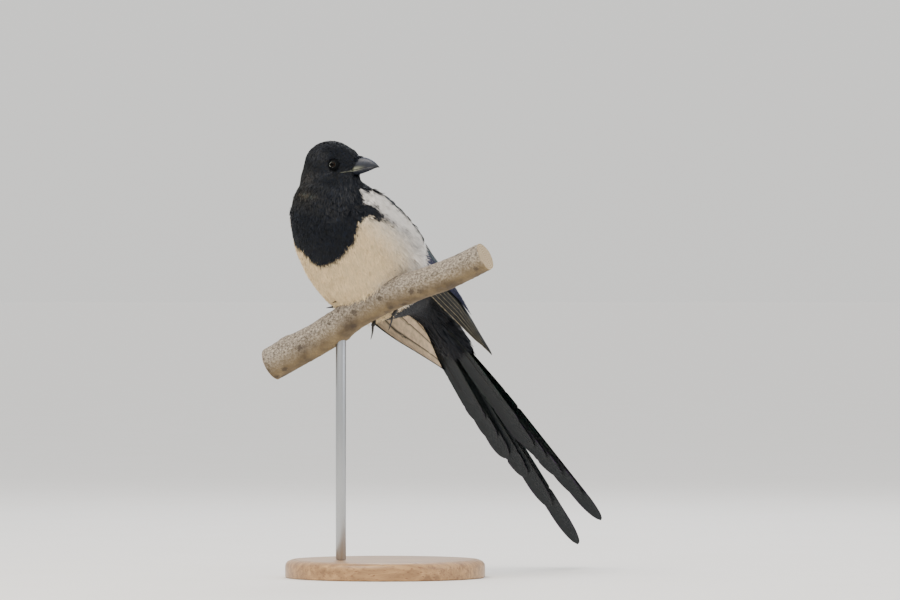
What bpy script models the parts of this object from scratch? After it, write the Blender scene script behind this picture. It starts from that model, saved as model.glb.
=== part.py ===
"""Eurasian magpie, life size and still, on a cut length of branch held by a display stand.

Everything of the bird is drawn in the bird's own frame: +X runs forwards along the back, +Y to its
left and +Z out of its back, with the origin at the root of the tail. One empty turns that frame into
the pose. The branch has a frame of its own, and the toes are laid out round it. Metres, +Z up.
"""

import math

import bmesh
import bpy
import numpy as np
from mathutils import Matrix, Vector

MM = 0.001
GAP = 0.35 * MM
WING_GAP = 0.4 * MM

# The pose: the bird faces 42 degrees to its right of straight ahead and holds its back at 40 degrees.
HEADING = math.radians(42)
PITCH = math.radians(40)
TAIL_ROOT = Vector((35, 50, 207)) * MM

# Trunk, from the tail coverts to the breast: station along the back, then the section's centre
# height, half width, depth below the centre and height above it.
TRUNK_X = np.array([-42, -22, 0, 15, 25, 35, 50, 75, 100, 125, 148, 162, 169]) * MM
TRUNK_CENTRE = np.array([-0.4, -0.5, -2, -4, -8, -12, -15.5, -17, -17, -15.5, -14.5, -13.5, -12]) * MM
TRUNK_WIDE = np.array([10.5, 11.5, 13, 15, 21, 29, 38, 44, 44, 40, 31, 20, 11]) * MM
TRUNK_DEEP = np.array([8, 9, 9.5, 11, 18, 26, 36.5, 44, 44, 40, 31.5, 21, 12]) * MM
TRUNK_TALL = np.array([8, 9.5, 13, 19, 25.5, 31.5, 38.5, 44, 44, 40, 31.5, 21, 12]) * MM

# Folded wings lie on an oval that leaves the trunk behind the flank and runs on to the wing tips.
WING_X = np.array([-80, -56, 0, 27, 50, 75, 100, 125, 150]) * MM
WING_CENTRE = np.array([0, 0, -4, -9, -15, -17, -17, -15.5, -14.5]) * MM
WING_WIDE = np.array([28.3, 29.4, 32.4, 35, 40, 44.5, 45, 42, 32]) * MM
WING_DEEP = np.array([15, 20, 34, 38, 40, 44, 45, 42, 33]) * MM
WING_TALL = np.array([13, 16, 27, 34, 40, 44.5, 45, 42, 33]) * MM
WING_ROUND = 34 * MM

# Head: its centre in the bird's frame, the way the bill points in the stand's frame, and its ovals as
# (forwards, up, half length, half width, half height) from that centre.
HEAD_CENTRE = Vector((162, 0, 12)) * MM
BILL_WAY = Vector((0.881, -0.468, 0.07)).normalized()
SKULL = (1.2, 1.2, 22, 18.7, 19)
FACE = (11.5, 0.5, 17.5, 12.5, 14)
NAPE = (-7, -10.5, 17.6, 18.5, 16)
THROAT = (6, -12, 20, 15, 12)
NECK = (-1.5, -22, 26, 24, 18)

# Bill, from the head's centre: stations forwards, then at each the heights of its ridge, of the line
# where it closes and of its keel, and its half width. The lower half stops one station short.
BILL_X = (20, 24, 28.6, 33, 37.5, 41, 43.6)
BILL_RIDGE = (4.6, 5.0, 4.8, 3.9, 2.0, -0.6, -3.1)
BILL_CLOSE = (-5.9, -5.4, -4.9, -4.4, -3.9, -3.6, -3.5)
BILL_KEEL = (-9.3, -9.0, -8.3, -7.2, -6.0, -4.7, -4.2)
BILL_HALF = (5.2, 5.1, 4.7, 3.9, 2.9, 1.6, 0.5)
EYE_FORWARD = 11.4 * MM
EYE_UP = -0.5 * MM
EYE_OUT = 12.6 * MM
EYE_RADIUS = 3.9 * MM

# Tail: droop of the fan, and for each side the feathers from the middle pair outwards.
TAIL_DROOP = math.radians(6.5)
TAIL_LENGTHS = {"l": (237, 210, 184, 163, 148, 120), "r": (262, 218, 183, 161, 140, 118)}
TAIL_ANGLES = {"l": (8.6, 8.2, 7.4, 6.4, 4.8, 5.6), "r": (-0.6, -1.2, -2.4, -4.5, -4.3, -4.3)}
TAIL_LAYERS = {"l": (0, 2, 4, 5, 6, 7), "r": (1, 3, 4, 5, 6, 7)}
TAIL_ROOT_STEP = 1.2 * MM
TAIL_WIDTH = 18 * MM
TAIL_START = 16 * MM
TAIL_LAYER = 1.08 * MM
TAIL_TOP = 3.6 * MM
TAIL_THICK = 0.6 * MM
TAIL_EDGE = 0.5 * MM
TAIL_ARCH = 0.1 * MM
TAIL_POCKET = (44, 30, 9.8)

# Branch and feet.
PERCH_CENTRE = TAIL_ROOT + Vector((-40.6, -81, 8.6)) * MM
PERCH_WAY = Vector((0.825, -0.385, 0.4125)).normalized()
PERCH_RADIUS = 12.0 * MM
PERCH_REACH = (-104 * MM, 98 * MM)
PERCH_ARCH = 7 * MM
PERCH_KNOTS = ((-40, 250, 0.8), (62, 320, 1.8), (-84, 60, 1.2), (24, 300, 0.8))
TOE_RADIUS = 2.2 * MM
# Each foot: where it grips along the branch, and for its inner, middle, outer and hind toe where the
# toe ends along the branch and round it, in degrees from the front over the top.
FEET = {
    "left": (9, {"inner": (1, 98), "middle": (14, 82), "outer": (22, 100), "hind": (6, 256)}),
    "right": (-15, {"inner": (-9, 98), "middle": (-27, 84), "outer": (-36, 108), "hind": (-13, 256)}),
}
TOE_ROOTS = {"inner": -4.8, "middle": 0, "outer": 4.8, "hind": 0}
GRIP_TURN = 168
HIND_TURN = 188
CLAW_LENGTH = {"inner": 8, "middle": 9, "outer": 8, "hind": 12.5}
THIGH_PLACE = (46, 17, -42)
THIGH_HALF = (17, 12, 22)
TARSUS_LENGTH = 17 * MM
TARSUS_RADIUS = 2.1 * MM

# Stand.
BASE_RADIUS = 78 * MM
BASE_HEIGHT = 14 * MM
ROD_RADIUS = 4 * MM
ROD_ALONG = -36 * MM


def clear_scene():
    for old in list(bpy.data.objects):
        bpy.data.objects.remove(old, do_unlink=True)


def finish(name, colour, roughness, metallic=0.0):
    """A plain material in the piece's colour."""
    material = bpy.data.materials.get(name) or bpy.data.materials.new(name)
    material.use_nodes = True
    shader = material.node_tree.nodes["Principled BSDF"]
    shader.inputs["Base Color"].default_value = (*colour, 1)
    shader.inputs["Roughness"].default_value = roughness
    shader.inputs["Metallic"].default_value = metallic
    return material


def add_piece(name, mesh, material=None, parent=None):
    piece = bpy.data.objects.new(name, mesh)
    bpy.context.scene.collection.objects.link(piece)
    piece.parent = parent
    if material:
        piece.data.materials.clear()
        piece.data.materials.append(material)
    mesh.shade_smooth()
    return piece


def loft(rings, first=None, last=None):
    """A closed mesh through rings of equal size, each end drawn to a point or capped flat."""
    bm = bmesh.new()
    rows = [[bm.verts.new(point) for point in ring] for ring in rings]
    sides = len(rows[0])
    for row, after in zip(rows, rows[1:]):
        for i in range(sides):
            j = (i + 1) % sides
            bm.faces.new((row[i], row[j], after[j], after[i]))
    for row, tip, flip in ((rows[0], first, True), (rows[-1], last, False)):
        if tip is None:
            bm.faces.new(row[::-1] if flip else row)
            continue
        point = bm.verts.new(tip)
        for i in range(sides):
            j = (i + 1) % sides
            bm.faces.new((row[j], row[i], point) if flip else (row[i], row[j], point))
    bmesh.ops.recalc_face_normals(bm, faces=bm.faces)
    mesh = bpy.data.meshes.new("loft")
    bm.to_mesh(mesh)
    bm.free()
    return mesh


def oval(place, half, axes=None, rings=10, sides=16):
    """An ellipsoid; axes is a 3 by 3 matrix whose columns are its own directions."""
    bm = bmesh.new()
    bmesh.ops.create_uvsphere(bm, u_segments=sides, v_segments=rings, radius=1)
    turn = (axes or Matrix.Identity(3)).to_4x4()
    stretch = Matrix.Diagonal((*half, 1))
    bm.transform(Matrix.Translation(place) @ turn @ stretch)
    mesh = bpy.data.meshes.new("oval")
    bm.to_mesh(mesh)
    bm.free()
    return mesh


def hull_mesh(points):
    """The smallest bulging shape round a cloud of points."""
    bm = bmesh.new()
    for point in points:
        bm.verts.new(point)
    made = bmesh.ops.convex_hull(bm, input=bm.verts)
    unused = [v for v in made["geom_interior"] if isinstance(v, bmesh.types.BMVert)]
    bmesh.ops.delete(bm, geom=unused, context="VERTS")
    bmesh.ops.recalc_face_normals(bm, faces=bm.faces)
    mesh = bpy.data.meshes.new("hull")
    bm.to_mesh(mesh)
    bm.free()
    return mesh


def join(meshes):
    bm = bmesh.new()
    for mesh in meshes:
        bm.from_mesh(mesh)
    joined = bpy.data.meshes.new("joined")
    bm.to_mesh(joined)
    bm.free()
    return joined


def settle(piece):
    """Keep what the modifiers make of a piece as its own mesh."""
    seen = bpy.context.evaluated_depsgraph_get()
    mesh = bpy.data.meshes.new_from_object(piece.evaluated_get(seen))
    piece.modifiers.clear()
    piece.data = mesh


def carve(piece, cutter, operation="DIFFERENCE"):
    cut = piece.modifiers.new("cut", "BOOLEAN")
    cut.operation = operation
    cut.object = cutter
    settle(piece)


def drop(piece):
    bpy.data.objects.remove(piece, do_unlink=True)


def bird_axes():
    """The bird's forward, left and back directions as the columns of a matrix."""
    ahead = Vector((
        -math.sin(HEADING) * math.cos(PITCH),
        -math.cos(HEADING) * math.cos(PITCH),
        math.sin(PITCH),
    ))
    left = Vector((math.cos(HEADING), -math.sin(HEADING), 0))
    return Matrix((ahead, left, ahead.cross(left))).transposed()


def head_axes():
    """The head's forward, left and up directions, in the bird's frame."""
    left = Vector((0, 0, 1)).cross(BILL_WAY).normalized()
    up = BILL_WAY.cross(left)
    world = Matrix((BILL_WAY, left, up)).transposed()
    return bird_axes().transposed() @ world


def trunk_ring(x, sides=28):
    centre = np.interp(x, TRUNK_X, TRUNK_CENTRE)
    wide = np.interp(x, TRUNK_X, TRUNK_WIDE)
    ring = []
    for i in range(sides):
        turn = 2 * math.pi * i / sides
        high = np.interp(x, TRUNK_X, TRUNK_TALL if math.sin(turn) > 0 else TRUNK_DEEP)
        ring.append((x, wide * math.cos(turn), centre + high * math.sin(turn)))
    return ring


def body_mesh(turn):
    """Trunk, neck and head as one skin."""
    stations = np.linspace(TRUNK_X[0], TRUNK_X[-1], 26)
    rings = [trunk_ring(x) for x in stations]
    nose = (TRUNK_X[-1] + 3 * MM, 0, TRUNK_CENTRE[-1])
    tail = (TRUNK_X[0] - 3 * MM, 0, TRUNK_CENTRE[0])
    shapes = [loft(rings, tail, nose)]
    for ahead, up, *half in (SKULL, FACE, NAPE, THROAT, NECK):
        place = HEAD_CENTRE + turn @ (Vector((ahead, 0, up)) * MM)
        shapes.append(oval(place, [h * MM for h in half], turn, 14, 20))
    return join(shapes)


def make_body(bird, turn, skin):
    """The whole skin is drawn over the ovals, rounded and then parted by two thin cuts."""
    body = add_piece("body_whole", body_mesh(turn), skin, bird)
    remesh = body.modifiers.new("skin", "REMESH")
    remesh.mode = "VOXEL"
    remesh.voxel_size = 2.5 * MM
    rounding = body.modifiers.new("rounding", "SMOOTH")
    rounding.factor = 0.5
    rounding.iterations = 14
    fewer = body.modifiers.new("fewer", "DECIMATE")
    fewer.ratio = 0.091
    settle(body)
    return body


def half_space(name, place, normal, bird):
    """A large block whose face at place looks back along normal."""
    bm = bmesh.new()
    bmesh.ops.create_cube(bm, size=0.5)
    bm.transform(Matrix.Translation((0, 0, 0.25)))
    turn = Vector((0, 0, 1)).rotation_difference(Vector(normal)).to_matrix().to_4x4()
    bm.transform(Matrix.Translation(place) @ turn)
    mesh = bpy.data.meshes.new(name)
    bm.to_mesh(mesh)
    bm.free()
    return add_piece(name, mesh, None, bird)


def part_body(body, bird, turn, skins):
    """Cuts the skin into head, neck and trunk, with a hair's gap between them."""
    up = turn @ Vector((0, -0.5, 1)).normalized()
    chin = HEAD_CENTRE + turn @ (Vector((0, 0, -13.5)) * MM)
    collar = chin - up * 9 * MM
    pieces = {}
    for name, cuts in (
        ("head", [(chin + up * GAP / 2, up)]),
        ("neck", [(chin - up * GAP / 2, -up), (collar + up * GAP / 2, up)]),
        ("trunk", [(collar - up * GAP / 2, -up)]),
    ):
        piece = add_piece(name, body.data.copy(), skins[name], bird)
        for place, way in cuts:
            block = half_space("block", place, way, bird)
            carve(piece, block, "INTERSECT")
            drop(block)
        pieces[name] = piece
    drop(body)
    return pieces


def wing_point(x, angle, out, side):
    """A point on the wing's oval at an angle above the side, out from its surface."""
    centre = np.interp(x, WING_X, WING_CENTRE)
    wide = np.interp(x, WING_X, WING_WIDE) + out
    high = np.interp(x, WING_X, WING_TALL if angle > 0 else WING_DEEP) + out
    return (x, side * wide * math.cos(angle), centre + high * math.sin(angle))


def wing_shell(lower, upper, inner, outer, side, across=5, steps=8, grow=0.0):
    """A curved plate between two edges, each edge a list of (x, angle in degrees) from front to back."""
    rings = []
    wider = math.degrees(grow / WING_ROUND)
    for i in range(steps + 1):
        reach = grow if i == 0 else -grow if i == steps else 0
        low = along(lower, i / steps)
        high = along(upper, i / steps)
        low = (low[0] + reach, low[1] - wider)
        high = (high[0] + reach, high[1] + wider)
        spread = [k / across for k in range(across + 1)]
        line = [(low[0] + (high[0] - low[0]) * s, low[1] + (high[1] - low[1]) * s) for s in spread]
        outside = [wing_point(x, math.radians(a), outer + grow, side) for x, a in line]
        inside = [wing_point(x, math.radians(a), inner - grow, side) for x, a in line]
        rings.append(outside + inside[::-1])
    return loft(rings)


def along(points, t):
    """The point a share t of the way through a list of points."""
    place = t * (len(points) - 1)
    i = min(int(place), len(points) - 2)
    f = place - i
    return tuple(a + (b - a) * f for a, b in zip(points[i], points[i + 1]))


def wing_groups(tip_x, hang):
    """The four groups of one folded wing. Each has a lower and an upper edge, as points of (mm along
    the back, degrees above the side), then the depths of its inner and outer face on the wing's oval.
    hang holds the angles of the long feathers' lower edge, from the flank to the wing tip."""
    stations = (62, 34, 0, tip_x + 22, tip_x)
    return {
        "scapulars": (
            [(141, 1), (118, 0), (92, 12), (70, 26)],
            [(141, 40), (118, 43), (92, 44), (70, 44)], -1.0, 3.0,
        ),
        "coverts": (
            [(149, -14), (128, -17), (100, -14), (66, -8)],
            [(149, -1), (118, -2), (92, 9.5), (66, 24)], -1.6, 1.6,
        ),
        "secondaries": (
            [(64, -3), (38, 1 + hang[1] / 4), (8, 6 + hang[2] / 4), (-30, 16 + hang[3] / 4)],
            [(64, 48), (38, 64), (8, 66), (-30, 40)], -0.6, 2.0,
        ),
        "primaries": (
            list(zip(stations, hang)),
            [(62, -5), (34, 22), (0, 26), (tip_x + 22, 18), (tip_x, hang[4] + 5)], -3.2, -1.4,
        ),
    }


WINGS = {
    "left": (1, wing_groups(-55, (-12, -4, -6, -3, 2))),
    "right": (-1, wing_groups(-75, (-12, -40, -62, -38, -18))),
}


def make_wings(bird, flesh, colours):
    """Each group of feathers lies in a pocket of its own shape, sunk into the flesh."""
    for side_name, (side, groups) in WINGS.items():
        for group, (lower, upper, inner, outer) in groups.items():
            lower = [(x * MM, angle) for x, angle in lower]
            upper = [(x * MM, angle) for x, angle in upper]
            edges = (lower, upper, inner * MM, outer * MM, side)
            cutter = add_piece("pocket", wing_shell(*edges, grow=WING_GAP), None, bird)
            for piece in flesh:
                carve(piece, cutter)
            drop(cutter)
            add_piece(f"{group}_{side_name}", wing_shell(*edges), colours[group], bird)


def feather_mesh(length, width, layer, angle, shift):
    """A tail feather: a thin vane, narrow at its root, a little arched, with a blunt round tip."""
    stations = (0, 0.12, 0.3, 0.5, 0.72, 0.88, 0.96, 1)
    widths = (0.16, 0.5, 0.86, 0.97, 1.0, 0.93, 0.7, 0.32)
    rings = []
    turn = Matrix.Rotation(angle, 3, "Z")
    base = TAIL_TOP - layer * TAIL_LAYER
    for share, wide in zip(stations, widths):
        x = -(TAIL_START + share * (length - TAIL_START))
        half = width * wide / 2
        arch = TAIL_ARCH * wide
        outline = [
            (x, half, -arch), (x, 0, TAIL_THICK / 2), (x, -half, -arch),
            (x, -half, -arch - TAIL_EDGE), (x, 0, -TAIL_THICK / 2), (x, half, -arch - TAIL_EDGE),
        ]
        rings.append([turn @ Vector(p) + Vector((0, shift, base)) for p in outline])
    mesh = loft(rings)
    droop = Matrix.Rotation(TAIL_DROOP, 4, "Y").inverted()
    mesh.transform(droop)
    return mesh


def make_tail(bird, colour):
    for side, way in (("l", 1), ("r", -1)):
        for k in range(6):
            length = TAIL_LENGTHS[side][k] * MM
            angle = -math.radians(TAIL_ANGLES[side][k])
            shift = way * TAIL_ROOT_STEP * (k + 0.5)
            mesh = feather_mesh(length, TAIL_WIDTH, TAIL_LAYERS[side][k], angle, shift)
            add_piece(f"tail_feather_{side}{k + 1}", mesh, colour, bird)


def tail_pocket(bird):
    """The space between the upper and lower tail coverts that the feather roots lie in."""
    long, wide, high = (size * MM for size in TAIL_POCKET)
    bm = bmesh.new()
    bmesh.ops.create_cube(bm, size=1)
    middle = TAIL_TOP - 3.5 * TAIL_LAYER
    bm.transform(Matrix.Translation((-TAIL_START + 1 * MM - long / 2, 0, middle))
                 @ Matrix.Diagonal((long, wide, high, 1)))
    bm.transform(Matrix.Rotation(TAIL_DROOP, 4, "Y").inverted())
    mesh = bpy.data.meshes.new("pocket")
    bm.to_mesh(mesh)
    bm.free()
    return add_piece("pocket", mesh, None, bird)


def bill_half(turn, rows, stations, grow=0.0):
    """One half of the bill between two of its long lines, rounded on the side away from the other."""
    rings = []
    for i in range(stations):
        x = BILL_X[i] * MM + (grow if i == stations - 1 else 0)
        flat, round_ = rows[0][i] * MM, rows[1][i] * MM
        way = 1 if round_ > flat else -1
        flat -= way * grow
        round_ += way * grow
        half = BILL_HALF[i] * MM + grow
        outline = [
            (half * out, flat + (round_ - flat) * up)
            for out, up in ((-1, 0), (-0.92, 0.35), (-0.62, 0.75), (0, 1), (0.62, 0.75), (0.92, 0.35), (1, 0))
        ]
        rings.append([HEAD_CENTRE + turn @ Vector((x, y, z)) for y, z in outline])
    return loft(rings)


def make_bill(bird, turn, head, horn):
    close_up = [c + 0.18 for c in BILL_CLOSE]
    close_down = [c - 0.18 for c in BILL_CLOSE]
    halves = {
        "bill_upper": ((close_up, BILL_RIDGE), len(BILL_X)),
        "bill_lower": ((close_down, BILL_KEEL), len(BILL_X) - 1),
    }
    for name, (rows, stations) in halves.items():
        cutter = add_piece("pocket", bill_half(turn, rows, stations, GAP), None, bird)
        carve(head, cutter)
        drop(cutter)
        add_piece(name, bill_half(turn, rows, stations), horn, bird)


def make_eyes(bird, turn, head, dark):
    for name, side in (("eye_left", 1), ("eye_right", -1)):
        place = HEAD_CENTRE + turn @ Vector((EYE_FORWARD, side * EYE_OUT, EYE_UP))
        radii = [(EYE_RADIUS + extra,) * 3 for extra in (GAP, 0)]
        cutter = add_piece("pocket", oval(place, radii[0], turn, 7, 10), None, bird)
        carve(head, cutter)
        drop(cutter)
        add_piece(name, oval(place, radii[1], turn, 7, 10), dark, bird)


def perch_axes():
    """Directions square to the branch: to its front and up out of its top."""
    up = (Vector((0, 0, 1)) - PERCH_WAY * PERCH_WAY.z).normalized()
    return PERCH_WAY.cross(up), up


def perch_point(t, turn, out):
    """A point out from the branch's core, turn in radians from its front over its top."""
    front, up = perch_axes()
    arch = -PERCH_ARCH * (1 - math.exp(-((t / (48 * MM)) ** 2)))
    core = PERCH_CENTRE + PERCH_WAY * t + up * arch
    return core + (front * math.cos(turn) + up * math.sin(turn)) * out


def bark_radius(t, turn):
    """The branch swells towards its thick end and at each knot."""
    radius = PERCH_RADIUS * (1 - 0.0009 * t / MM)
    radius += 0.18 * MM * math.sin(3 * turn + t / (9 * MM))
    for along_mm, degrees, high in PERCH_KNOTS:
        off = (t / MM - along_mm) / 9
        swing = math.remainder(turn - math.radians(degrees), 2 * math.pi) / 0.8
        radius += high * MM * math.exp(-off * off - swing * swing)
    return radius


def perch_mesh(rings=20, sides=14, grow=0.0):
    rows = []
    for i in range(rings + 1):
        t = PERCH_REACH[0] + (PERCH_REACH[1] - PERCH_REACH[0]) * i / rings
        turns = [2 * math.pi * k / sides for k in range(sides)]
        rows.append([perch_point(t, a, bark_radius(t, a) + grow) for a in turns])
    return loft(rows)


def tube(line, radii, sides=6):
    """A round tube along a line of points, each with its own radius."""
    rings = []
    for i, (point, radius) in enumerate(zip(line, radii)):
        ahead = (line[min(i + 1, len(line) - 1)] - line[max(i - 1, 0)]).normalized()
        across = ahead.cross(Vector((0.3, 0.5, 0.8))).normalized()
        over = ahead.cross(across)
        turns = [2 * math.pi * k / sides for k in range(sides)]
        rings.append([point + (across * math.cos(a) + over * math.sin(a)) * radius for a in turns])
    return loft(rings)


def toe_line(foot_t, side, toe, end, steps=5):
    """A toe lies on the bark from the grip to its end."""
    start_t = foot_t + side * TOE_ROOTS[toe]
    start_turn = HIND_TURN if toe == "hind" else GRIP_TURN
    line = []
    for i in range(steps + 1):
        s = i / steps
        t = (start_t + (end[0] - start_t) * s) * MM
        turn = math.radians(start_turn + (end[1] - start_turn) * s)
        line.append(perch_point(t, turn, bark_radius(t, turn) + TOE_RADIUS + 0.55 * MM))
    return line


def claw_line(toe, line, steps=4):
    """A front claw bends down on to the bark; a hind claw hangs free below the branch."""
    way = (line[-1] - line[-2]).normalized()
    long = CLAW_LENGTH[toe] * MM
    start = line[-1] + way * (1.3 * MM if toe == "hind" else 0.6 * MM)
    front, up = perch_axes()
    if toe == "hind":
        way = (way + front * 0.2 - up * 1.3).normalized()
        bend = -PERCH_WAY * 0.35 - front * 0.12
    else:
        bend = -(line[-1] - line[-3]).cross(PERCH_WAY).normalized() * 0.25
        if bend.dot(up) > 0:
            bend = -bend
        bend = bend * 0.2
    return [start + way * (long * i / steps) + bend * (long * (i / steps) ** 2) for i in range(steps + 1)]


def make_thigh(bird, flesh, side_name, side, fluff):
    """The feathered thigh is parted from the belly by a thin cut."""
    place = Vector((THIGH_PLACE[0], side * THIGH_PLACE[1], THIGH_PLACE[2])) * MM
    half = [h * MM for h in THIGH_HALF]
    wider = add_piece("pocket", oval(place, [h + GAP for h in half], None, 8, 10), None, bird)
    inside = add_piece("pocket", oval(place, half, None, 8, 10), None, bird)
    thigh = add_piece(f"thigh_{side_name}", flesh.data.copy(), fluff, bird)
    carve(thigh, inside, "INTERSECT")
    carve(flesh, wider)
    drop(wider)
    drop(inside)
    return thigh, TAIL_ROOT + bird_axes() @ place


def make_foot(side_name, thigh_place, skin, horn):
    """Toes round the branch, their claws and the shank; returns the room they need in the belly."""
    foot_t, toes = FEET[side_name]
    side = 1 if side_name == "left" else -1
    outline = []
    for toe, end in toes.items():
        line = toe_line(foot_t, side, toe, end)
        radii = [TOE_RADIUS * (1 - 0.22 * i / (len(line) - 1)) for i in range(len(line))]
        add_piece(f"toe_{toe}_{side_name}", tube(line, radii), skin)
        claw = claw_line(toe, line)
        last = len(claw) - 1
        claw_radii = [1.35 * MM * (1 - 0.8 * (i / last) ** 1.3) for i in range(last + 1)]
        add_piece(f"claw_{toe}_{side_name}", tube(claw, claw_radii, 4), horn)
        reach = line if toe == "hind" else line + claw[1:]
        outline += [v.co.copy() for v in tube(reach, [TOE_RADIUS + 0.6 * MM] * len(reach), 5).vertices]
    instep = [
        perch_point(foot_t * MM, math.radians(GRIP_TURN + 4), PERCH_RADIUS + out * MM)
        for out in (3, 7.6)
    ]
    back = (thigh_place - instep[1]).normalized()
    shank = [instep[1] + back * (TARSUS_LENGTH * i / 2) for i in range(3)]
    add_piece(f"tarsus_{side_name}", tube(shank, [TARSUS_RADIUS] * 3), skin)
    sleeve = tube(instep[:1] + shank, [TARSUS_RADIUS + 0.5 * MM] * 4)
    return [add_piece("pocket", hull_mesh(outline)), add_piece("pocket", sleeve)]


def make_legs(bird, flesh, skin, horn, fluff):
    thighs = {
        name: make_thigh(bird, flesh, name, side, fluff) for name, side in (("left", 1), ("right", -1))
    }
    for name, (_, place) in thighs.items():
        for room in make_foot(name, place, skin, horn):
            for piece in (flesh, thighs["left"][0], thighs["right"][0]):
                carve(piece, room)
            drop(room)


def make_stand(wood, steel):
    """A turned base with an eased edge, and one rod up to the underside of the branch."""
    profile = [(0, 0), (BASE_RADIUS - 1.5 * MM, 0), (BASE_RADIUS, 1.5 * MM),
               (BASE_RADIUS, BASE_HEIGHT - 5 * MM), (BASE_RADIUS - 5 * MM, BASE_HEIGHT), (0, BASE_HEIGHT)]
    sides = 30
    turns = [2 * math.pi * k / sides for k in range(sides)]
    rings = [[(r * math.cos(a), r * math.sin(a), z) for a in turns] for r, z in profile[1:-1]]
    add_piece("stand_base", loft(rings), wood)
    top = perch_point(ROD_ALONG, 0, 0)
    rod_rings = [
        [(top.x + ROD_RADIUS * math.cos(a), top.y + ROD_RADIUS * math.sin(a), z) for a in turns[::3]]
        for z in (BASE_HEIGHT + GAP, top.z)
    ]
    rod = add_piece("stand_rod", loft(rod_rings), steel)
    return rod


def main():
    clear_scene()
    bird = bpy.data.objects.new("bird", None)
    bpy.context.scene.collection.objects.link(bird)
    bird.matrix_world = Matrix.Translation(TAIL_ROOT) @ bird_axes().to_4x4()
    bpy.context.view_layer.update()
    turn = head_axes()
    black = finish("black_plumage", (0.012, 0.013, 0.016), 0.6)
    white = finish("white_plumage", (0.75, 0.70, 0.62), 0.8)
    blue = finish("blue_flight_feathers", (0.02, 0.04, 0.10), 0.4)
    tail = finish("tail_feathers", (0.02, 0.025, 0.03), 0.4)
    body = make_body(bird, turn, black)
    pieces = part_body(body, bird, turn, {"head": black, "neck": black, "trunk": white})
    make_wings(bird, (pieces["trunk"], pieces["neck"]), {
        "scapulars": white, "coverts": black, "secondaries": blue, "primaries": black,
    })
    make_tail(bird, tail)
    pocket = tail_pocket(bird)
    carve(pieces["trunk"], pocket)
    drop(pocket)
    horn = finish("bill_horn", (0.035, 0.038, 0.042), 0.35)
    dark = finish("eye", (0.01, 0.008, 0.007), 0.05)
    make_eyes(bird, turn, pieces["head"], dark)
    make_bill(bird, turn, pieces["head"], horn)
    bark = finish("bark", (0.33, 0.29, 0.24), 0.9)
    wood = finish("turned_wood", (0.25, 0.15, 0.08), 0.5)
    steel = finish("brushed_steel", (0.55, 0.55, 0.55), 0.35, 1.0)
    toe_skin = finish("leg_scales", (0.02, 0.02, 0.022), 0.5)
    make_legs(bird, pieces["trunk"], toe_skin, horn, white)
    groove = add_piece("pocket", perch_mesh(rings=9, sides=12, grow=0.9 * MM))
    for name in ("trunk", "thigh_left", "thigh_right"):
        carve(bpy.data.objects[name], groove)
    drop(groove)
    rod = make_stand(wood, steel)
    seat = add_piece("pocket", perch_mesh(grow=0.4 * MM))
    carve(rod, seat)
    drop(seat)
    add_piece("perch", perch_mesh(), bark)


main()
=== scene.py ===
"""A still, life-size magpie on a cut length of branch, held by a plain display stand.

Lengths are in metres. The bird is shaped in its own frame: forward along the back, left, and up out
of the back, measured from the root of its tail.
"""

import math

import bpy
import numpy as np
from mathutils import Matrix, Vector, noise
from mathutils.bvhtree import BVHTree


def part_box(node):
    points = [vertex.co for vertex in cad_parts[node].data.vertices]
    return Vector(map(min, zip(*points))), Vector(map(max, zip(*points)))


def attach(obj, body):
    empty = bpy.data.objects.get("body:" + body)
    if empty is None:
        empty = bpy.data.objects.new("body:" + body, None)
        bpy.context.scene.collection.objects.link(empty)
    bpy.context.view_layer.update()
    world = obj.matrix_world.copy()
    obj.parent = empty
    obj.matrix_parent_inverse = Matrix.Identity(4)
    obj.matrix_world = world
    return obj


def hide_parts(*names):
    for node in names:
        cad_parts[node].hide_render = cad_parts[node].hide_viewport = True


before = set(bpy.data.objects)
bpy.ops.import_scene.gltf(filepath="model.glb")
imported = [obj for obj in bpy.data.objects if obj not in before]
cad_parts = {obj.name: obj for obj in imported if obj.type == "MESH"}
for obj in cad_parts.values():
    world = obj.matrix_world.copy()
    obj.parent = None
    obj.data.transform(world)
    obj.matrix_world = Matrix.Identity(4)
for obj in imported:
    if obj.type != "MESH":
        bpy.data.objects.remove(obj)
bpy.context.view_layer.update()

# ---------------------------------------------------------------------------------------------
# The studio: a pale floor without a wall, a soft pale sky, one broad lamp above and to the left, and
# a long lens level with the bird, as far off as a watcher with a telephoto lens.

MM = 0.001
MM_PER_PIXEL = 0.78
PICTURE_WIDE = 900
LENS_DISTANCE = 5.0
AIM = Vector((0.0506, 0.0, 0.21636))
SENSOR = 36
FLOOR_SIZE = 1600
VIEW_END = 2000
SKY_LOW, SKY_HIGH, SKY_STRENGTH = "#e9e8e5", "#ffffff", 1.2
FLOOR_DULL, FLOOR_CLEAN = "#eceae6", "#eeece9"


def linear(colour):
    """The linear values of an sRGB hex colour, with an alpha of 1."""
    parts = [int(colour[i : i + 2], 16) / 255 for i in (1, 3, 5)]
    return (*[p / 12.92 if p <= 0.04045 else ((p + 0.055) / 1.055) ** 2.4 for p in parts], 1)


def wire(node, sockets):
    """Sets sockets of a node. A node or an output is linked in, and a node by its first output."""
    for name, value in sockets.items():
        if isinstance(value, bpy.types.Node):
            value = value.outputs[0]
        if isinstance(value, bpy.types.NodeSocket):
            node.id_data.links.new(value, node.inputs[name])
        else:
            node.inputs[name].default_value = value


def add_node(tree, kind, sockets=None, stops=None, **settings):
    """Adds one node with its settings, ramp stops, socket values and the links into it."""
    made = tree.nodes.new("ShaderNode" + kind)
    for name, value in settings.items():
        setattr(made, name, value)
    for i, (place, colour) in enumerate(stops or ()):
        stop = made.color_ramp.elements[i] if i < 2 else made.color_ramp.elements.new(place)
        stop.position = place
        stop.color = linear(colour)
    wire(made, sockets or {})
    return made


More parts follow.
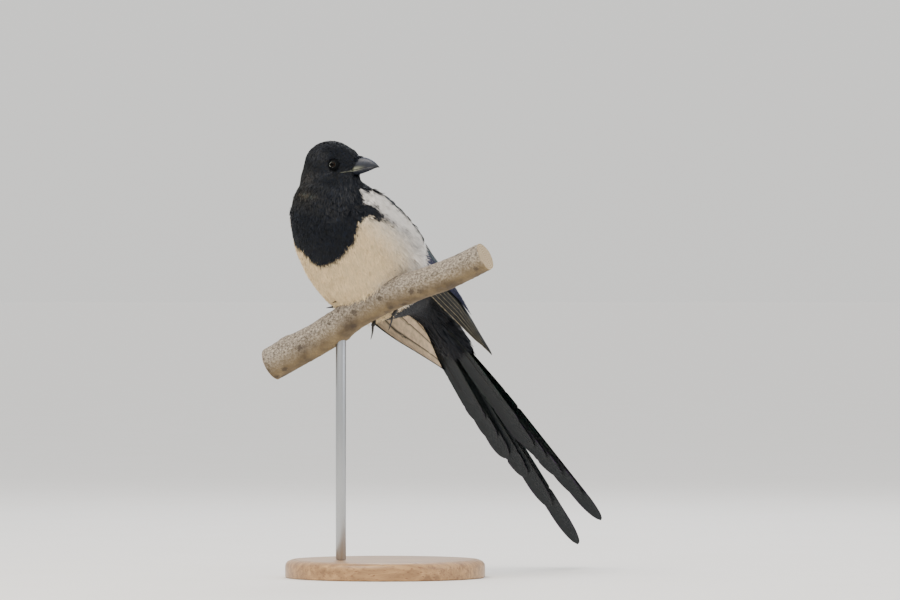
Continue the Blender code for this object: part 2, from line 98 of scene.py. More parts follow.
def new_material(name, **shader):
    """A material, its node tree, and its shader with the values that hold all over the surface."""
    material = bpy.data.materials.new(name)
    material.use_nodes = True
    tree = material.node_tree
    surface = tree.nodes["Principled BSDF"]
    for socket, value in shader.items():
        surface.inputs[socket.replace("_", " ")].default_value = value
    return material, tree, surface


bpy.ops.mesh.primitive_plane_add(size=FLOOR_SIZE)
floor = bpy.context.object
floor.name = "floor"
paper, tree, surface = new_material("painted studio floor", Roughness=0.85)
coords = add_node(tree, "TexCoord").outputs["Object"]
mottle = add_node(tree, "TexNoise", {"Vector": coords, "Scale": 9.0, "Detail": 6.0})
tint = add_node(tree, "ValToRGB", {"Fac": mottle}, [(0.3, FLOOR_DULL), (0.7, FLOOR_CLEAN)])
wire(surface, {"Base Color": tint})
floor.data.materials.append(paper)

world = bpy.data.worlds.new("pale sky")
world.use_nodes = True
way = add_node(world.node_tree, "TexCoord").outputs["Generated"]
height = add_node(world.node_tree, "SeparateXYZ", {"Vector": way}).outputs["Z"]
sky = add_node(world.node_tree, "ValToRGB", {"Fac": height}, [(0.0, SKY_LOW), (0.5, SKY_HIGH)])
wire(world.node_tree.nodes["Background"], {"Color": sky, "Strength": SKY_STRENGTH})
bpy.context.scene.world = world

for place, size, power, shade in (
    ((-0.7, -1.0, 2.0), 1.4, 50, "#fff6e8"),  # the key, above and to the left
    ((1.5, -0.5, 0.9), 1.0, 6, "#e8f0ff"),  # a weak fill from the right
    ((0.3, 1.5, 1.5), 1.0, 16, "#f4f7ff"),  # a cool rim from behind
):
    bpy.ops.object.light_add(type="AREA", location=place)
    lamp = bpy.context.object
    lamp.data.size = size
    lamp.data.energy = power
    lamp.data.color = linear(shade)[:3]
    lamp.rotation_euler = (AIM - Vector(place)).to_track_quat("-Z", "Y").to_euler()

bpy.ops.object.camera_add(location=AIM - Vector((0, LENS_DISTANCE, 0)))
camera = bpy.context.object
camera.rotation_euler = (math.radians(90), 0, 0)
camera.data.sensor_width = SENSOR
camera.data.lens = SENSOR * LENS_DISTANCE / (PICTURE_WIDE * MM_PER_PIXEL * MM)
camera.data.clip_end = VIEW_END
bpy.context.scene.camera = camera

# ---------------------------------------------------------------------------------------------
# The stand: a turned disc of waxed beech with an eased edge, as a museum workshop makes, and one
# brushed steel rod that is pressed into it and into the underside of the branch.

BASE_RADIUS = 78 * MM
BASE_HEIGHT = 14 * MM
BASE_EASE = 5 * MM
FOOT_EASE = 1 * MM
ROD_RADIUS = 4 * MM
SMOOTH_BELOW = math.radians(35)

rod_low, rod_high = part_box("stand_rod")


def pick(*pieces):
    """Selects these objects and no others. The first becomes the active one."""
    bpy.ops.object.select_all(action="DESELECT")
    for piece in pieces:
        piece.select_set(True)
    if pieces:
        bpy.context.view_layer.objects.active = pieces[0]


def apply_modifiers(piece):
    pick(piece)
    for modifier in list(piece.modifiers):
        bpy.ops.object.modifier_apply(modifier=modifier.name)


def set_down(piece, name, material, slot, *nodes):
    """A finished piece: at the origin, shaded smooth, riding on the one body in its nodes' place."""
    pick(piece)
    bpy.ops.object.transform_apply(location=True, rotation=True, scale=True)
    piece.name = piece.data.name = name
    piece.data.materials.clear()
    piece.data.materials.append(material)
    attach(piece, "root")
    if nodes:
        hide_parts(*nodes)


pick()
bpy.ops.mesh.primitive_circle_add(
    vertices=128, radius=BASE_RADIUS - FOOT_EASE, fill_type="NGON"
)
base = bpy.context.object
bpy.ops.object.mode_set(mode="EDIT")
# The profile from the foot up: each step's rise, and how far it lies in from the rim.
for step, inset in (
    (FOOT_EASE, 0),
    (BASE_HEIGHT - BASE_EASE - FOOT_EASE, 0),
    (BASE_EASE * 0.4, BASE_EASE * 0.1),
    (BASE_EASE * 0.35, BASE_EASE * 0.4),
    (BASE_EASE * 0.25, BASE_EASE),
    (0.0, BASE_EASE + 1.2 * MM),
    (-0.5 * MM, BASE_EASE + 1.8 * MM),
    (0.0, BASE_EASE + 2.6 * MM),
    (0.5 * MM, BASE_EASE + 3.2 * MM),
    (0.0, BASE_RADIUS - 12 * MM),
):
    bpy.ops.mesh.extrude_region_move(TRANSFORM_OT_translate={"value": (0, 0, step)})
    bpy.ops.object.mode_set(mode="OBJECT")
    for v in base.data.vertices:
        if v.select:
            v.co.xy = v.co.xy.normalized() * (BASE_RADIUS - inset)
    bpy.ops.object.mode_set(mode="EDIT")
bpy.ops.mesh.select_all(action="SELECT")
bpy.ops.mesh.normals_make_consistent(inside=False)
bpy.ops.object.mode_set(mode="OBJECT")
bpy.ops.object.shade_smooth_by_angle(angle=SMOOTH_BELOW)

# Waxed beech: pale brown, with straight grain across the disc and the short dark flecks of its rays.
beech, tree, surface = new_material(
    "waxed turned beech", Roughness=0.42, Coat_Weight=0.25, Coat_Roughness=0.3
)
coords = add_node(tree, "TexCoord").outputs["Object"]
along_grain = add_node(tree, "Mapping", {"Vector": coords, "Scale": (6, 90, 60)})
fibre = add_node(
    tree, "TexNoise", {"Vector": along_grain, "Scale": 4.0, "Detail": 8.0, "Distortion": 0.6}
)
ray_place = add_node(tree, "Mapping", {"Vector": coords, "Scale": (160, 900, 900)})
ray = add_node(tree, "TexNoise", {"Vector": ray_place, "Scale": 1.0, "Detail": 1.0})
board = add_node(
    tree, "ValToRGB", {"Fac": fibre},
    [(0.25, "#7c5b3a"), (0.75, "#bd9565"), (0.5, "#9f7a50")],
)
fleck = add_node(tree, "MapRange", {"Value": ray, "From Min": 0.62, "From Max": 0.7})
stained = add_node(
    tree, "MixRGB", {"Fac": fleck, "Color1": board, "Color2": linear("#7a5232")}
)
pore = add_node(tree, "Bump", {"Height": fibre, "Strength": 0.12, "Distance": 0.4 * MM})
wire(surface, {"Base Color": stained, "Normal": pore})
set_down(base, "turned_base", beech, "turned_wood", "stand_base")

pick()
rod_span = rod_high - rod_low
bpy.ops.mesh.primitive_cylinder_add(
    vertices=48, radius=ROD_RADIUS, depth=rod_span.z, location=(rod_low + rod_high) / 2
)
rod = bpy.context.object
bevel = rod.modifiers.new("eased end", "BEVEL")
bevel.width = 0.5 * MM
bevel.segments = 2
apply_modifiers(rod)
bpy.ops.object.shade_smooth_by_angle(angle=SMOOTH_BELOW)

# Brushed steel: grey, with fine rings round the rod from the lathe's emery cloth.
steel, tree, surface = new_material("brushed steel", Metallic=1.0, Base_Color=linear("#a9abad"))
coords = add_node(tree, "TexCoord").outputs["Object"]
rings = add_node(tree, "Mapping", {"Vector": coords, "Scale": (20, 20, 4000)})
brush = add_node(tree, "TexNoise", {"Vector": rings, "Scale": 1.0, "Detail": 3.0})
scatter = add_node(tree, "MapRange", {"Value": brush, "To Min": 0.24, "To Max": 0.42})
score = add_node(tree, "Bump", {"Height": brush, "Strength": 0.15, "Distance": 0.1 * MM})
wire(surface, {"Roughness": scatter, "Normal": score})
set_down(rod, "steel_rod", steel, "brushed_steel_rod", "stand_rod")

# ---------------------------------------------------------------------------------------------
# The perch: a length of grey-barked branch sawn off at both ends, with knots and fine pitting,
# rougher on its weathered top than underneath, and painted paler on top as light from above makes it.

PERCH_CENTRE = Vector((-5.6, -31, 215.6)) * MM
PERCH_WAY = Vector((0.825, -0.385, 0.4125)).normalized()
PERCH_RADIUS = 12 * MM
PERCH_REACH = (-104 * MM, 98 * MM)
PERCH_ARCH = 7 * MM
PERCH_TAPER = 0.0009  # of the radius, to each mm along it
ARCH_REACH = 48 * MM
# Each knot's place along the branch in mm, its turn in degrees, and how far it stands out in mm.
PERCH_KNOTS = ((-40, 250, 0.8), (62, 320, 1.8), (-84, 60, 1.2), (24, 300, 0.8))
PERCH_UP = (Vector((0, 0, 1)) - PERCH_WAY * PERCH_WAY.z).normalized()
PERCH_FRONT = PERCH_WAY.cross(PERCH_UP)


def perch_point(t, turn, out):
    """A point out from the branch's core, turn in radians from its front over its top."""
    arch = -PERCH_ARCH * (1 - math.exp(-((t / ARCH_REACH) ** 2)))
    core = PERCH_CENTRE + PERCH_WAY * t + PERCH_UP * arch
    return core + (PERCH_FRONT * math.cos(turn) + PERCH_UP * math.sin(turn)) * out


def from_knots(t, turn, long, wide):
    """How far a place is from each knot, in shares of long mm and wide radians, and its height."""
    for along, degrees, high in PERCH_KNOTS:
        swing = math.remainder(turn - math.radians(degrees), 2 * math.pi)
        yield (t / MM - along) / long, swing / wide, high


def bark_radius(t, turn):
    """The branch swells towards its thick end and at each knot."""
    radius = PERCH_RADIUS * (1 - PERCH_TAPER * t / MM)
    radius += 0.18 * MM * math.sin(3 * turn + t / (9 * MM))
    for off, swing, high in from_knots(t, turn, 9, 0.8):
        radius += high * MM * math.exp(-off * off - swing * swing)
    return radius


def bark_relief(t, turn):
    """Lumps, plates and pits of the bark, and the sunk eye of each knot."""
    place = Vector((t * 0.55, PERCH_RADIUS * math.cos(turn), PERCH_RADIUS * math.sin(turn))) / MM
    height = 0.30 * noise.fractal(place / 6, 0.6, 2.0, 4)
    height += 0.16 * noise.noise(place * 1.1 + noise.cell_vector(place) * 0.1)
    height -= 0.22 * max(0.0, noise.noise(place * 0.62 + Vector((9, 4, 2))) - 0.18)
    for off, swing, _ in from_knots(t, turn, 2.6, 0.24):
        ring = math.hypot(off, swing)
        height += 0.45 * math.exp(-((ring - 1.3) ** 2) * 3) - 0.9 * math.exp(-ring * ring * 1.4)
    return height * MM


def grid_piece(across, along, place, **marks):
    """A sheet of across by along cells. place(s, t) gives its points from their shares across and
    along it, and each mark is a function of s and t that is kept as a number on every point."""
    pick()
    bpy.ops.mesh.primitive_grid_add(x_subdivisions=across, y_subdivisions=along, size=1)
    piece = bpy.context.object
    points = np.zeros(len(piece.data.vertices) * 3)
    piece.data.vertices.foreach_get("co", points)
    s, t = points.reshape(-1, 3)[:, 0] + 0.5, points.reshape(-1, 3)[:, 1] + 0.5
    piece.data.vertices.foreach_set("co", np.asarray(place(s, t), float).ravel())
    for name, mark in marks.items():
        kept = piece.data.attributes.new(name, "FLOAT", "POINT")
        kept.data.foreach_set("value", np.asarray(mark(s, t), float) + 0 * s)
    return piece


MERGE_WITHIN = 1e-6


def close_up(piece):
    """Merges the seam of a rolled sheet, caps its ends and turns its faces outwards."""
    pick(piece)
    bpy.ops.object.mode_set(mode="EDIT")
    bpy.ops.mesh.select_all(action="SELECT")
    bpy.ops.mesh.remove_doubles(threshold=MERGE_WITHIN)
    bpy.ops.mesh.fill_holes(sides=0)
    bpy.ops.mesh.select_all(action="SELECT")
    bpy.ops.mesh.normals_make_consistent(inside=False)
    bpy.ops.object.mode_set(mode="OBJECT")
    bpy.ops.object.shade_smooth_by_angle(angle=math.radians(50))


def bark_place(shares_round, shares_along):
    points = []
    for s, t in zip(shares_round, shares_along):
        turn = 2 * math.pi * s
        way = PERCH_REACH[0] + (PERCH_REACH[1] - PERCH_REACH[0]) * t
        points.append(perch_point(way, turn, bark_radius(way, turn) + bark_relief(way, turn)))
    return points


branch = grid_piece(
    120, 420, bark_place,
    top=lambda s, t: np.sin(2 * np.pi * s), sawn=lambda s, t: (t < 0.001) | (t > 0.999),
)
close_up(branch)

# Bark: grey-beige and pitted where it is weathered, smoother and browner underneath, with darker
# cracks, and painted lighter on top and darker underneath as light from above makes it. The sawn
# ends are pale wood with a few growth rings and a dark pith.
bark, tree, surface = new_material("weathered smooth bark", Roughness=0.86)
coords = add_node(tree, "TexCoord").outputs["Object"]
patch = add_node(tree, "TexNoise", {"Vector": coords, "Scale": 70.0, "Detail": 5.0})
speck = add_node(
    tree, "TexNoise", {"Vector": coords, "Scale": 620.0, "Detail": 5.0, "Roughness": 0.72}
)
flake = add_node(
    tree, "TexVoronoi", {"Vector": coords, "Scale": 420.0}, feature="DISTANCE_TO_EDGE"
)
weathered_and_lit = add_node(
    tree, "ValToRGB", {"Fac": speck},
    [(0.36, "#3d372e"), (0.66, "#bcb19f"), (0.48, "#80766a")],
)
sheltered_and_shaded = add_node(
    tree, "ValToRGB", {"Fac": patch}, [(0.32, "#493c2b"), (0.68, "#83704f")]
)
# Painted light: the paler weathered colours take over towards the top, and the darker ones below.
height = add_node(tree, "Attribute", attribute_name="top").outputs["Fac"]
ragged = add_node(tree, "Math", {0: patch, 1: 0.9, 2: height}, operation="MULTIPLY_ADD")
lit_weathered_top = add_node(tree, "MapRange", {"Value": ragged, "From Min": -0.25, "From Max": 0.75})
hue = add_node(tree, "MixRGB", {"Fac": lit_weathered_top, "Color1": sheltered_and_shaded, "Color2": weathered_and_lit})
crack = add_node(tree, "MapRange", {"Value": flake, "From Max": 0.10})
cracked = add_node(tree, "MixRGB", {"Fac": crack, "Color1": linear("#54483a"), "Color2": hue})
worn = add_node(tree, "MixRGB", {"Fac": 0.45, "Color1": hue, "Color2": cracked})
scar_place = add_node(tree, "TexVoronoi", {"Vector": coords, "Scale": 75.0})
scar_edge = add_node(tree, "Math", {0: speck, 1: 0.35, 2: scar_place}, operation="MULTIPLY_ADD")
scar = add_node(
    tree, "MapRange",
    {"Value": scar_edge, "From Min": 0.3, "From Max": 0.42, "To Min": 0.75, "To Max": 0.0},
)
aged = add_node(tree, "MixRGB", {"Fac": scar, "Color1": worn, "Color2": linear("#3a3026")})
# The rings of the sawn ends are rings of distance from the branch's core, 1.7 mm apart.
from_core = add_node(
    tree, "VectorMath", {0: coords, 1: PERCH_CENTRE - PERCH_UP * PERCH_ARCH}, operation="SUBTRACT"
)
across = add_node(tree, "VectorMath", {0: from_core, 1: PERCH_WAY}, operation="CROSS_PRODUCT")
out = add_node(tree, "VectorMath", {0: across}, operation="LENGTH").outputs["Value"]
wobble = add_node(tree, "Math", {0: patch, 1: 4 * MM, 2: out}, operation="MULTIPLY_ADD")
turns = add_node(tree, "Math", {0: wobble, 1: 3800.0}, operation="MULTIPLY")
ring = add_node(tree, "Math", {0: turns}, operation="SINE")
season = add_node(tree, "MapRange", {"Value": ring, "From Min": -1.0})
end_grain = add_node(tree, "ValToRGB", {"Fac": season}, [(0.1, "#8d785a"), (0.75, "#b8a585")])
saw = add_node(tree, "Attribute", attribute_name="sawn").outputs["Fac"]
shown = add_node(tree, "MixRGB", {"Fac": saw, "Color1": aged, "Color2": end_grain})
rough = add_node(tree, "Math", {0: speck, 1: aged}, operation="ADD")
pitting = add_node(tree, "Bump", {"Height": rough, "Strength": 0.55, "Distance": 0.5 * MM})
wire(surface, {"Base Color": shown, "Normal": pitting})
set_down(branch, "branch", bark, "bark", "perch")

# ---------------------------------------------------------------------------------------------
# The skin: one surface under the whole coat, from the bird's parts of flesh run together without a
# seam and drawn in by the depth of the feathers. It carries the plumage's own markings.

HEADING, PITCH = math.radians(42), math.radians(40)
TAIL_ROOT = Vector((35, 50, 207)) * MM
AHEAD = Vector((
    -math.sin(HEADING) * math.cos(PITCH), -math.cos(HEADING) * math.cos(PITCH), math.sin(PITCH)
))
LEFT = Vector((math.cos(HEADING), -math.sin(HEADING), 0))
BIRD = np.array((AHEAD, LEFT, AHEAD.cross(LEFT)))
BILL_WAY = Vector((0.881, -0.468, 0.07)).normalized()
BILL_LEFT = Vector((0, 0, 1)).cross(BILL_WAY).normalized()
HEAD = BIRD @ np.array((BILL_WAY, BILL_LEFT, BILL_WAY.cross(BILL_LEFT))).T
HEAD_CENTRE = np.array((162.0, 0.0, 12.0))
BODY_X = (-42, -22, 0, 15, 25, 35, 50, 75, 100, 125, 148, 162, 169)
BODY_MIDDLE = (-0.4, -0.5, -2, -4, -8, -12, -15.5, -17, -17, -15.5, -14.5, -13.5, -12)
BODY_WIDE = (10.5, 11.5, 13, 15, 21, 29, 38, 44, 44, 40, 31, 20, 11)
BODY_DEEP = (8, 9, 9.5, 11, 18, 26, 36.5, 44, 44, 40, 31.5, 21, 12)
BODY_TALL = (8, 9.5, 13, 19, 25.5, 31.5, 38.5, 44, 44, 40, 31.5, 21, 12)

FLESH = (
    "head", "neck", "trunk", "thigh_left", "thigh_right",
    "scapulars_left", "scapulars_right", "coverts_left", "coverts_right",
)
SKIN_VOXEL = 1.3 * MM
HEAD_DEPTH, BODY_DEPTH = 1.0, 2.0
DEPTH_CHANGE = (22, 44)  # mm from the head's middle


def to_bird(points):
    """Points in metres in the room, as millimetres in the bird's frame."""
    return (np.asarray(points) - np.array(TAIL_ROOT)) @ BIRD.T / MM


def to_room(points):
    return np.asarray(points) @ BIRD * MM + np.array(TAIL_ROOT)


def ease(low, high, value):
    """0 below low and 1 above high, smooth between. It falls if low is the larger."""
    share = np.clip((value - low) / (high - low), 0, 1)
    return share * share * (3 - 2 * share)


def from_head(points):
    """Distances from the head's middle."""
    return np.linalg.norm(points - HEAD_CENTRE, axis=1)


def coat_depth(points):
    """How far the skin lies under the tips of the feathers: least on the face."""
    return HEAD_DEPTH + (BODY_DEPTH - HEAD_DEPTH) * ease(*DEPTH_CHANGE, from_head(points))


def mesh_points(mesh):
    points = np.zeros(len(mesh.vertices) * 3)
    mesh.vertices.foreach_get("co", points)
    return points.reshape(-1, 3)


def body_place(s, t):
    """The trunk as an oval tube, whole again where the pockets of wings and feet were cut."""
    x = BODY_X[0] + (BODY_X[-1] - BODY_X[0]) * t
    turn = 2 * np.pi * s
    wide, middle = np.interp(x, BODY_X, BODY_WIDE), np.interp(x, BODY_X, BODY_MIDDLE)
    high = np.where(s < 0.5, np.interp(x, BODY_X, BODY_TALL), np.interp(x, BODY_X, BODY_DEEP))
    shrink = 1 - 0.6 / high
    return to_room(np.stack((
        x, wide * shrink * np.cos(turn), middle + high * shrink * np.sin(turn)
    ), 1))


def copy_node(name):
    """A piece with its own copy of a CAD node's mesh."""
    piece = bpy.data.objects.new("copy_" + name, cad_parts[name].data.copy())
    bpy.context.scene.collection.objects.link(piece)
    return piece


def gather(pieces):
    """Joins pieces into the first of them."""
    pick(*pieces)
    bpy.ops.object.join()
    return bpy.context.object


def melt(piece, voxel):
    """Runs the parts of a piece together into one closed skin of even faces."""
    remesh = piece.modifiers.new("run together", "REMESH")
    remesh.mode = "VOXEL"
    remesh.voxel_size = voxel
    remesh.use_smooth_shade = True
    apply_modifiers(piece)


core = grid_piece(64, 60, body_place)
close_up(core)
skin = gather([core, *[copy_node(name) for name in FLESH]])
melt(skin, SKIN_VOXEL)
# The steps between the parts are ironed out: a little all over, and much more away from the head.
for name, low, high, times in (("all", 0, 1, 6), ("body", 24, 40, 30)):
    group = skin.vertex_groups.new(name=name)
    for i, weight in enumerate(ease(low, high, from_head(to_bird(mesh_points(skin.data))))):
        group.add([i], float(weight), "REPLACE")
    iron = skin.modifiers.new("even out " + name, "SMOOTH")
    iron.factor = 0.5
    iron.iterations = times
    iron.vertex_group = name
    apply_modifiers(skin)
skin.vertex_groups.clear()
points = mesh_points(skin.data)
normals = np.zeros(len(points) * 3)
skin.data.vertices.foreach_get("normal", normals)
points -= normals.reshape(-1, 3) * coat_depth(to_bird(points))[:, None] * MM
skin.data.vertices.foreach_set("co", points.ravel())
skin.data.update()

# The borders of the markings. The bib's edge is a place along the bird at each angle all round it, and
# so is the vent's on each side. The others are angles above the side at places along the bird.
BIB_EDGE = (
    (-180, -165, -150, -126, -116, -110, -103, -92, -78, -63, -45.5, -34.6, -25, -13, 3, 17, 28, 50),
    (146, 140, 135, 134, 137.5, 135.5, 131, 125.5, 125, 125.5, 129, 131, 133.5, 138.5, 143, 146,
     146.5, 147),
)
SCAPULAR_LOW = (
    (66, 73, 84, 97, 112, 121, 130, 136, 140, 142.5, 144.5, 146),
    (38, 34, 28, 20, 15, 12.5, 11, 15, 21, 28, 34, 42),
)
WEDGE_LOW = (
    (66, 84, 97, 112, 121, 128, 133, 138, 142, 148),
    (36.5, 27, 19, 14, 10.5, 7, 2, -2, -4, -5),
)
SCAPULAR_HIGH = (
    (66, 77, 89, 105, 120, 132, 141, 148),
    (30, 30.5, 31, 34.5, 36, 35.5, 37.5, 41),
)
VENT_EDGE = ((-90, -60, -36, -20, 0, 20), (52, 58, 61, 58, 52, 62))
SCAPULAR_FROM, SCAPULAR_TO = 66, 147
BORDER_SOFT = 0.8
NECK_FROM = 147
NAPE_BAND_PLACE, NAPE_BAND_SIZE = (169, 3, -18), (4, 9, 1.7)


def dye(colour):
    """The three linear values of a hex colour, for colours that are mixed point by point."""
    return np.array(linear(colour)[:3])


# The cream is a painted warm reflection, laid over the white of the belly.
BLACK, WHITE, REFLECTED_CREAM = dye("#060c16"), dye("#dcd8d3"), dye("#e4cda4")
NAPE_BROWN, NAPE_BAND_GREY, RUMP_GREY = dye("#191712"), dye("#4f4a3e"), dye("#8f8d88")


def blend(first, second, share):
    """Colours from first to second, one to each share."""
    share = np.clip(np.asarray(share, float), 0, 1)[..., None]
    return np.asarray(first) * (1 - share) + np.asarray(second) * share


def flank_angle(points):
    """Degrees above the bird's side, from -90 under the belly to 90 on the back."""
    middle = np.interp(points[:, 0], BODY_X, BODY_MIDDLE)
    return np.degrees(np.arctan2(points[:, 2] - middle, np.abs(points[:, 1]) + 1e-9))


def ragged(points, size, high):
    """A gentle wander that keeps the borders of the markings from being ruled lines."""
    x, y, z = (points / size).T
    return high * (np.sin(x + 1.7 * y) + np.sin(1.3 * y - 2.1 * z + 0.8) + np.sin(2.6 * x + 1.1 * z)) / 3


def plumage(points):
    """The coat's own colour at points in the bird's frame, and how white it is there."""
    x = points[:, 0] + ragged(points, 2.2, 1.0)
    angle = flank_angle(points) + ragged(points, 1.9, 1.5)
    in_head = (points - HEAD_CENTRE) @ HEAD
    out = np.linalg.norm(in_head, axis=1)
    # Black: the head and bib. White: the shoulder patch, and the belly back to the vent.
    all_round = np.where(points[:, 1] > 0, angle, np.where(angle > 0, 180, -180) - angle)
    bib = ease(-BORDER_SOFT, BORDER_SOFT, x - np.interp(all_round, *BIB_EDGE))
    bib = np.maximum(bib, ease(48, 40, out) * (points[:, 0] > NECK_FROM))
    low, wedge = np.interp(x, *SCAPULAR_LOW), np.interp(x, *WEDGE_LOW)
    scapular = ease(-BORDER_SOFT, BORDER_SOFT, angle - low)
    scapular *= ease(1, -1, angle - np.interp(x, *SCAPULAR_HIGH))
    scapular *= ease(SCAPULAR_FROM, SCAPULAR_FROM + 3, x) * ease(SCAPULAR_TO, SCAPULAR_TO - 1, x)
    under = ease(BORDER_SOFT, -BORDER_SOFT, angle - wedge) * (1 - bib) * ease(38, 32, angle)
    under *= ease(-1, 1, x - np.interp(angle, *VENT_EDGE))
    # Painted shadow: broken grey marks where the shoulder feathers end over the flank.
    overlap_shadow = np.exp(-(((angle - (low + wedge) / 2) / 3.2) ** 2)) * ease(SCAPULAR_FROM, 76, x)
    overlap_shadow *= 0.6 + 0.25 * np.sin(0.9 * x) + 0.1 * np.sin(2.3 * x)
    white = np.clip(scapular + under, 0, 1) * (1 - overlap_shadow)
    # The belly takes a painted warm reflection, cream below and in front. The rump is grey, the crown
    # worn brown, and a pale grey-buff band shows at the nape.
    warm_reflection = ease(24, -22, angle) * ease(66, 104, x) * (1 - scapular)
    pale = blend(WHITE, REFLECTED_CREAM, np.maximum(warm_reflection, ease(-15, -55, angle)))
    rump = ease(16, 24, x) * ease(42, 34, x) * ease(30, 55, angle) * 0.5
    worn = ease(6, -10, in_head[:, 0]) * ease(14, 2, in_head[:, 2]) * ease(42, 34, out) * 0.6
    # A pale grey-buff band round one place at the nape.
    from_nape_band = np.stack((x, points[:, 1], points[:, 2]), 1) - NAPE_BAND_PLACE
    nape_band = np.exp(-((from_nape_band / NAPE_BAND_SIZE) ** 2).sum(1)) * 0.7
    dark = blend(blend(blend(BLACK, RUMP_GREY, rump), NAPE_BROWN, worn), NAPE_BAND_GREY, nape_band)
    return blend(dark, pale, white), white


def keep_colour(mesh, colours):
    """Keeps a colour on every point of a mesh, as the attribute that the plumage materials read."""
    kept = mesh.color_attributes.new("plumage", "FLOAT_COLOR", "POINT")
    kept.data.foreach_set("color", np.c_[colours, np.ones(len(colours))].ravel())


keep_colour(skin.data, plumage(to_bird(mesh_points(skin.data)))[0])

# Down: the matt shade between the feathers, in the colour of the coat that lies over it but darker.
down, tree, surface = new_material("downy under-plumage", Roughness=0.9)
dyed = add_node(tree, "Attribute", attribute_name="plumage")
shaded = add_node(
    tree, "MixRGB", {"Fac": 0.55, "Color1": dyed, "Color2": linear("#3b352e")}, blend_type="MULTIPLY"
)
wire(surface, {"Base Color": shaded})
set_down(skin, "skin", down, "body_plumage", *FLESH)

# ---------------------------------------------------------------------------------------------
# The coat: contour feathers, each a fan of thin barbs that follows the skin from its root towards the
# tail and lifts a little at its tip. They are smallest on the face and loose and downy on the belly.

SEED = 4525
BILL_BASE = HEAD_CENTRE + HEAD @ np.array((20, 0, -1))
STATIONS = 5
BAKE_PATCH = 0.003
EYE_PLACE, EYE_RADIUS = (11.4, 12.6, -0.5), 3.9
EYE_POLE = 2.6  # mm out from the eye's middle, where its lids open

rng = np.random.default_rng(SEED)
eye_centres = [HEAD_CENTRE + HEAD @ (np.array(EYE_PLACE) * (1, side, 1)) for side in (1, -1)]
eye_axes = [HEAD @ (np.array((0.10, side, 0.06)) / 1.007) for side in (1, -1)]
eye_poles = [centre + axis * EYE_POLE for centre, axis in zip(eye_centres, eye_axes)]
skin_points = to_bird(mesh_points(skin.data))
skin.data.calc_loop_triangles()
skin_faces = np.zeros(len(skin.data.loop_triangles) * 3, int)
skin.data.loop_triangles.foreach_get("vertices", skin_faces)
skin_faces = skin_faces.reshape(-1, 3)
# The tail coverts run on over the roots of the tail feathers, on this unseen sleeve behind the skin.
SLEEVE_X = (-95, -60, -42, -20, -5)
SLEEVE_MIDDLE = (-10.7, -6.8, -4.5, -1.5, -2)
SLEEVE_WIDE = (18, 16.5, 14, 11.5, 10.5)
SLEEVE_TALL = (4, 6.5, 10.3, 10, 9)
SLEEVE_DEEP = (5.2, 5.8, 7, 8.2, 8.2)
RING, ROWS, ROW_STEP = 40, 30, 3.0
ring, row = np.meshgrid(np.arange(RING), np.arange(ROWS + 1))
turn = ring.ravel() * 2 * np.pi / RING
x = SLEEVE_X[-1] - ROW_STEP * row.ravel()
wide, middle, above, below = (
    np.interp(x, SLEEVE_X, table) for table in (SLEEVE_WIDE, SLEEVE_MIDDLE, SLEEVE_TALL, SLEEVE_DEEP)
)
tall = np.where(turn < np.pi, above, below)
sleeve = np.stack((x, wide * np.cos(turn), middle + tall * np.sin(turn)), 1)
first = (row[:-1] * RING + ring[:-1]).ravel() + len(skin_points)
after = (row[:-1] * RING + (ring[:-1] + 1) % RING).ravel() + len(skin_points)
halves = [np.stack(corners, 1) for corners in (
    (first, first + RING, after), (after, first + RING, after + RING)
)]
skin_faces = np.concatenate((skin_faces, *halves))
skin_points = np.concatenate((skin_points, sleeve))
skin_tree = BVHTree.FromPolygons([Vector(p) for p in skin_points], skin_faces.tolist())


def nearest_skin(points):
    """The closest points of the skin and its outward directions there."""
    found = [skin_tree.find_nearest(p) for p in points]
    return np.array([f[0] for f in found]), np.array([f[1] for f in found])


def unit(vectors):
    return vectors / np.maximum(np.linalg.norm(vectors, axis=-1, keepdims=True), 1e-9)


def from_eye(points):
    return np.min([np.linalg.norm(points - eye, axis=1) for eye in eye_poles], axis=0)


def lie(points, normals):
    """The way the coat lies: back from the bill over the head, down the neck, then tailwards. It
    parts round the eyes."""
    away = points - BILL_BASE
    far = np.linalg.norm(away, axis=1)[:, None]
    near_bill = np.exp(-((far / 27) ** 2))
    near_head = ease(66, 30, from_head(points))[:, None]
    droop = (ease(0, -30, points[:, 2]) * ease(70, 112, points[:, 0]))[:, None]
    tailward = np.array((-1.0, 0, 0)) + droop * np.array((0, 0, -0.45))
    floorward = np.array((-0.643, 0, -0.766))
    way = tailward + (floorward - tailward) * near_head
    way = near_bill * away / far + (1 - near_bill) * unit(way)
    for pole in eye_poles:
        out = points - pole
        off = np.linalg.norm(out, axis=1)[:, None]
        way = way + 0.9 * out / off * ease(7.5, 2.5, off)
    return unit(way - normals * (way * normals).sum(1, keepdims=True))


def scatter_roots(spacing, wanted):
    """Roots spread over the skin, one to each cell of a grid, where wanted(points) allows them."""
    corners = skin_points[skin_faces]
    cross = np.cross(corners[:, 1] - corners[:, 0], corners[:, 2] - corners[:, 0])
    areas = np.linalg.norm(cross, axis=1) / 2
    keep = wanted(corners.mean(1)) > 0
    share = areas * keep
    count = int(share.sum() / spacing**2 * 4)
    chosen = rng.choice(len(areas), count, p=share / share.sum())
    a, b = rng.random((2, count, 1))
    flip = a + b > 1
    a, b = np.where(flip, 1 - a, a), np.where(flip, 1 - b, b)
    first, second, third = corners[chosen].transpose(1, 0, 2)
    roots = first + (second - first) * a + (third - first) * b
    _, one_each = np.unique(np.floor(roots / spacing).astype(int), axis=0, return_index=True)
    one_each.sort()
    return roots[one_each]


HEAD_REACH = 27  # mm from the head's middle


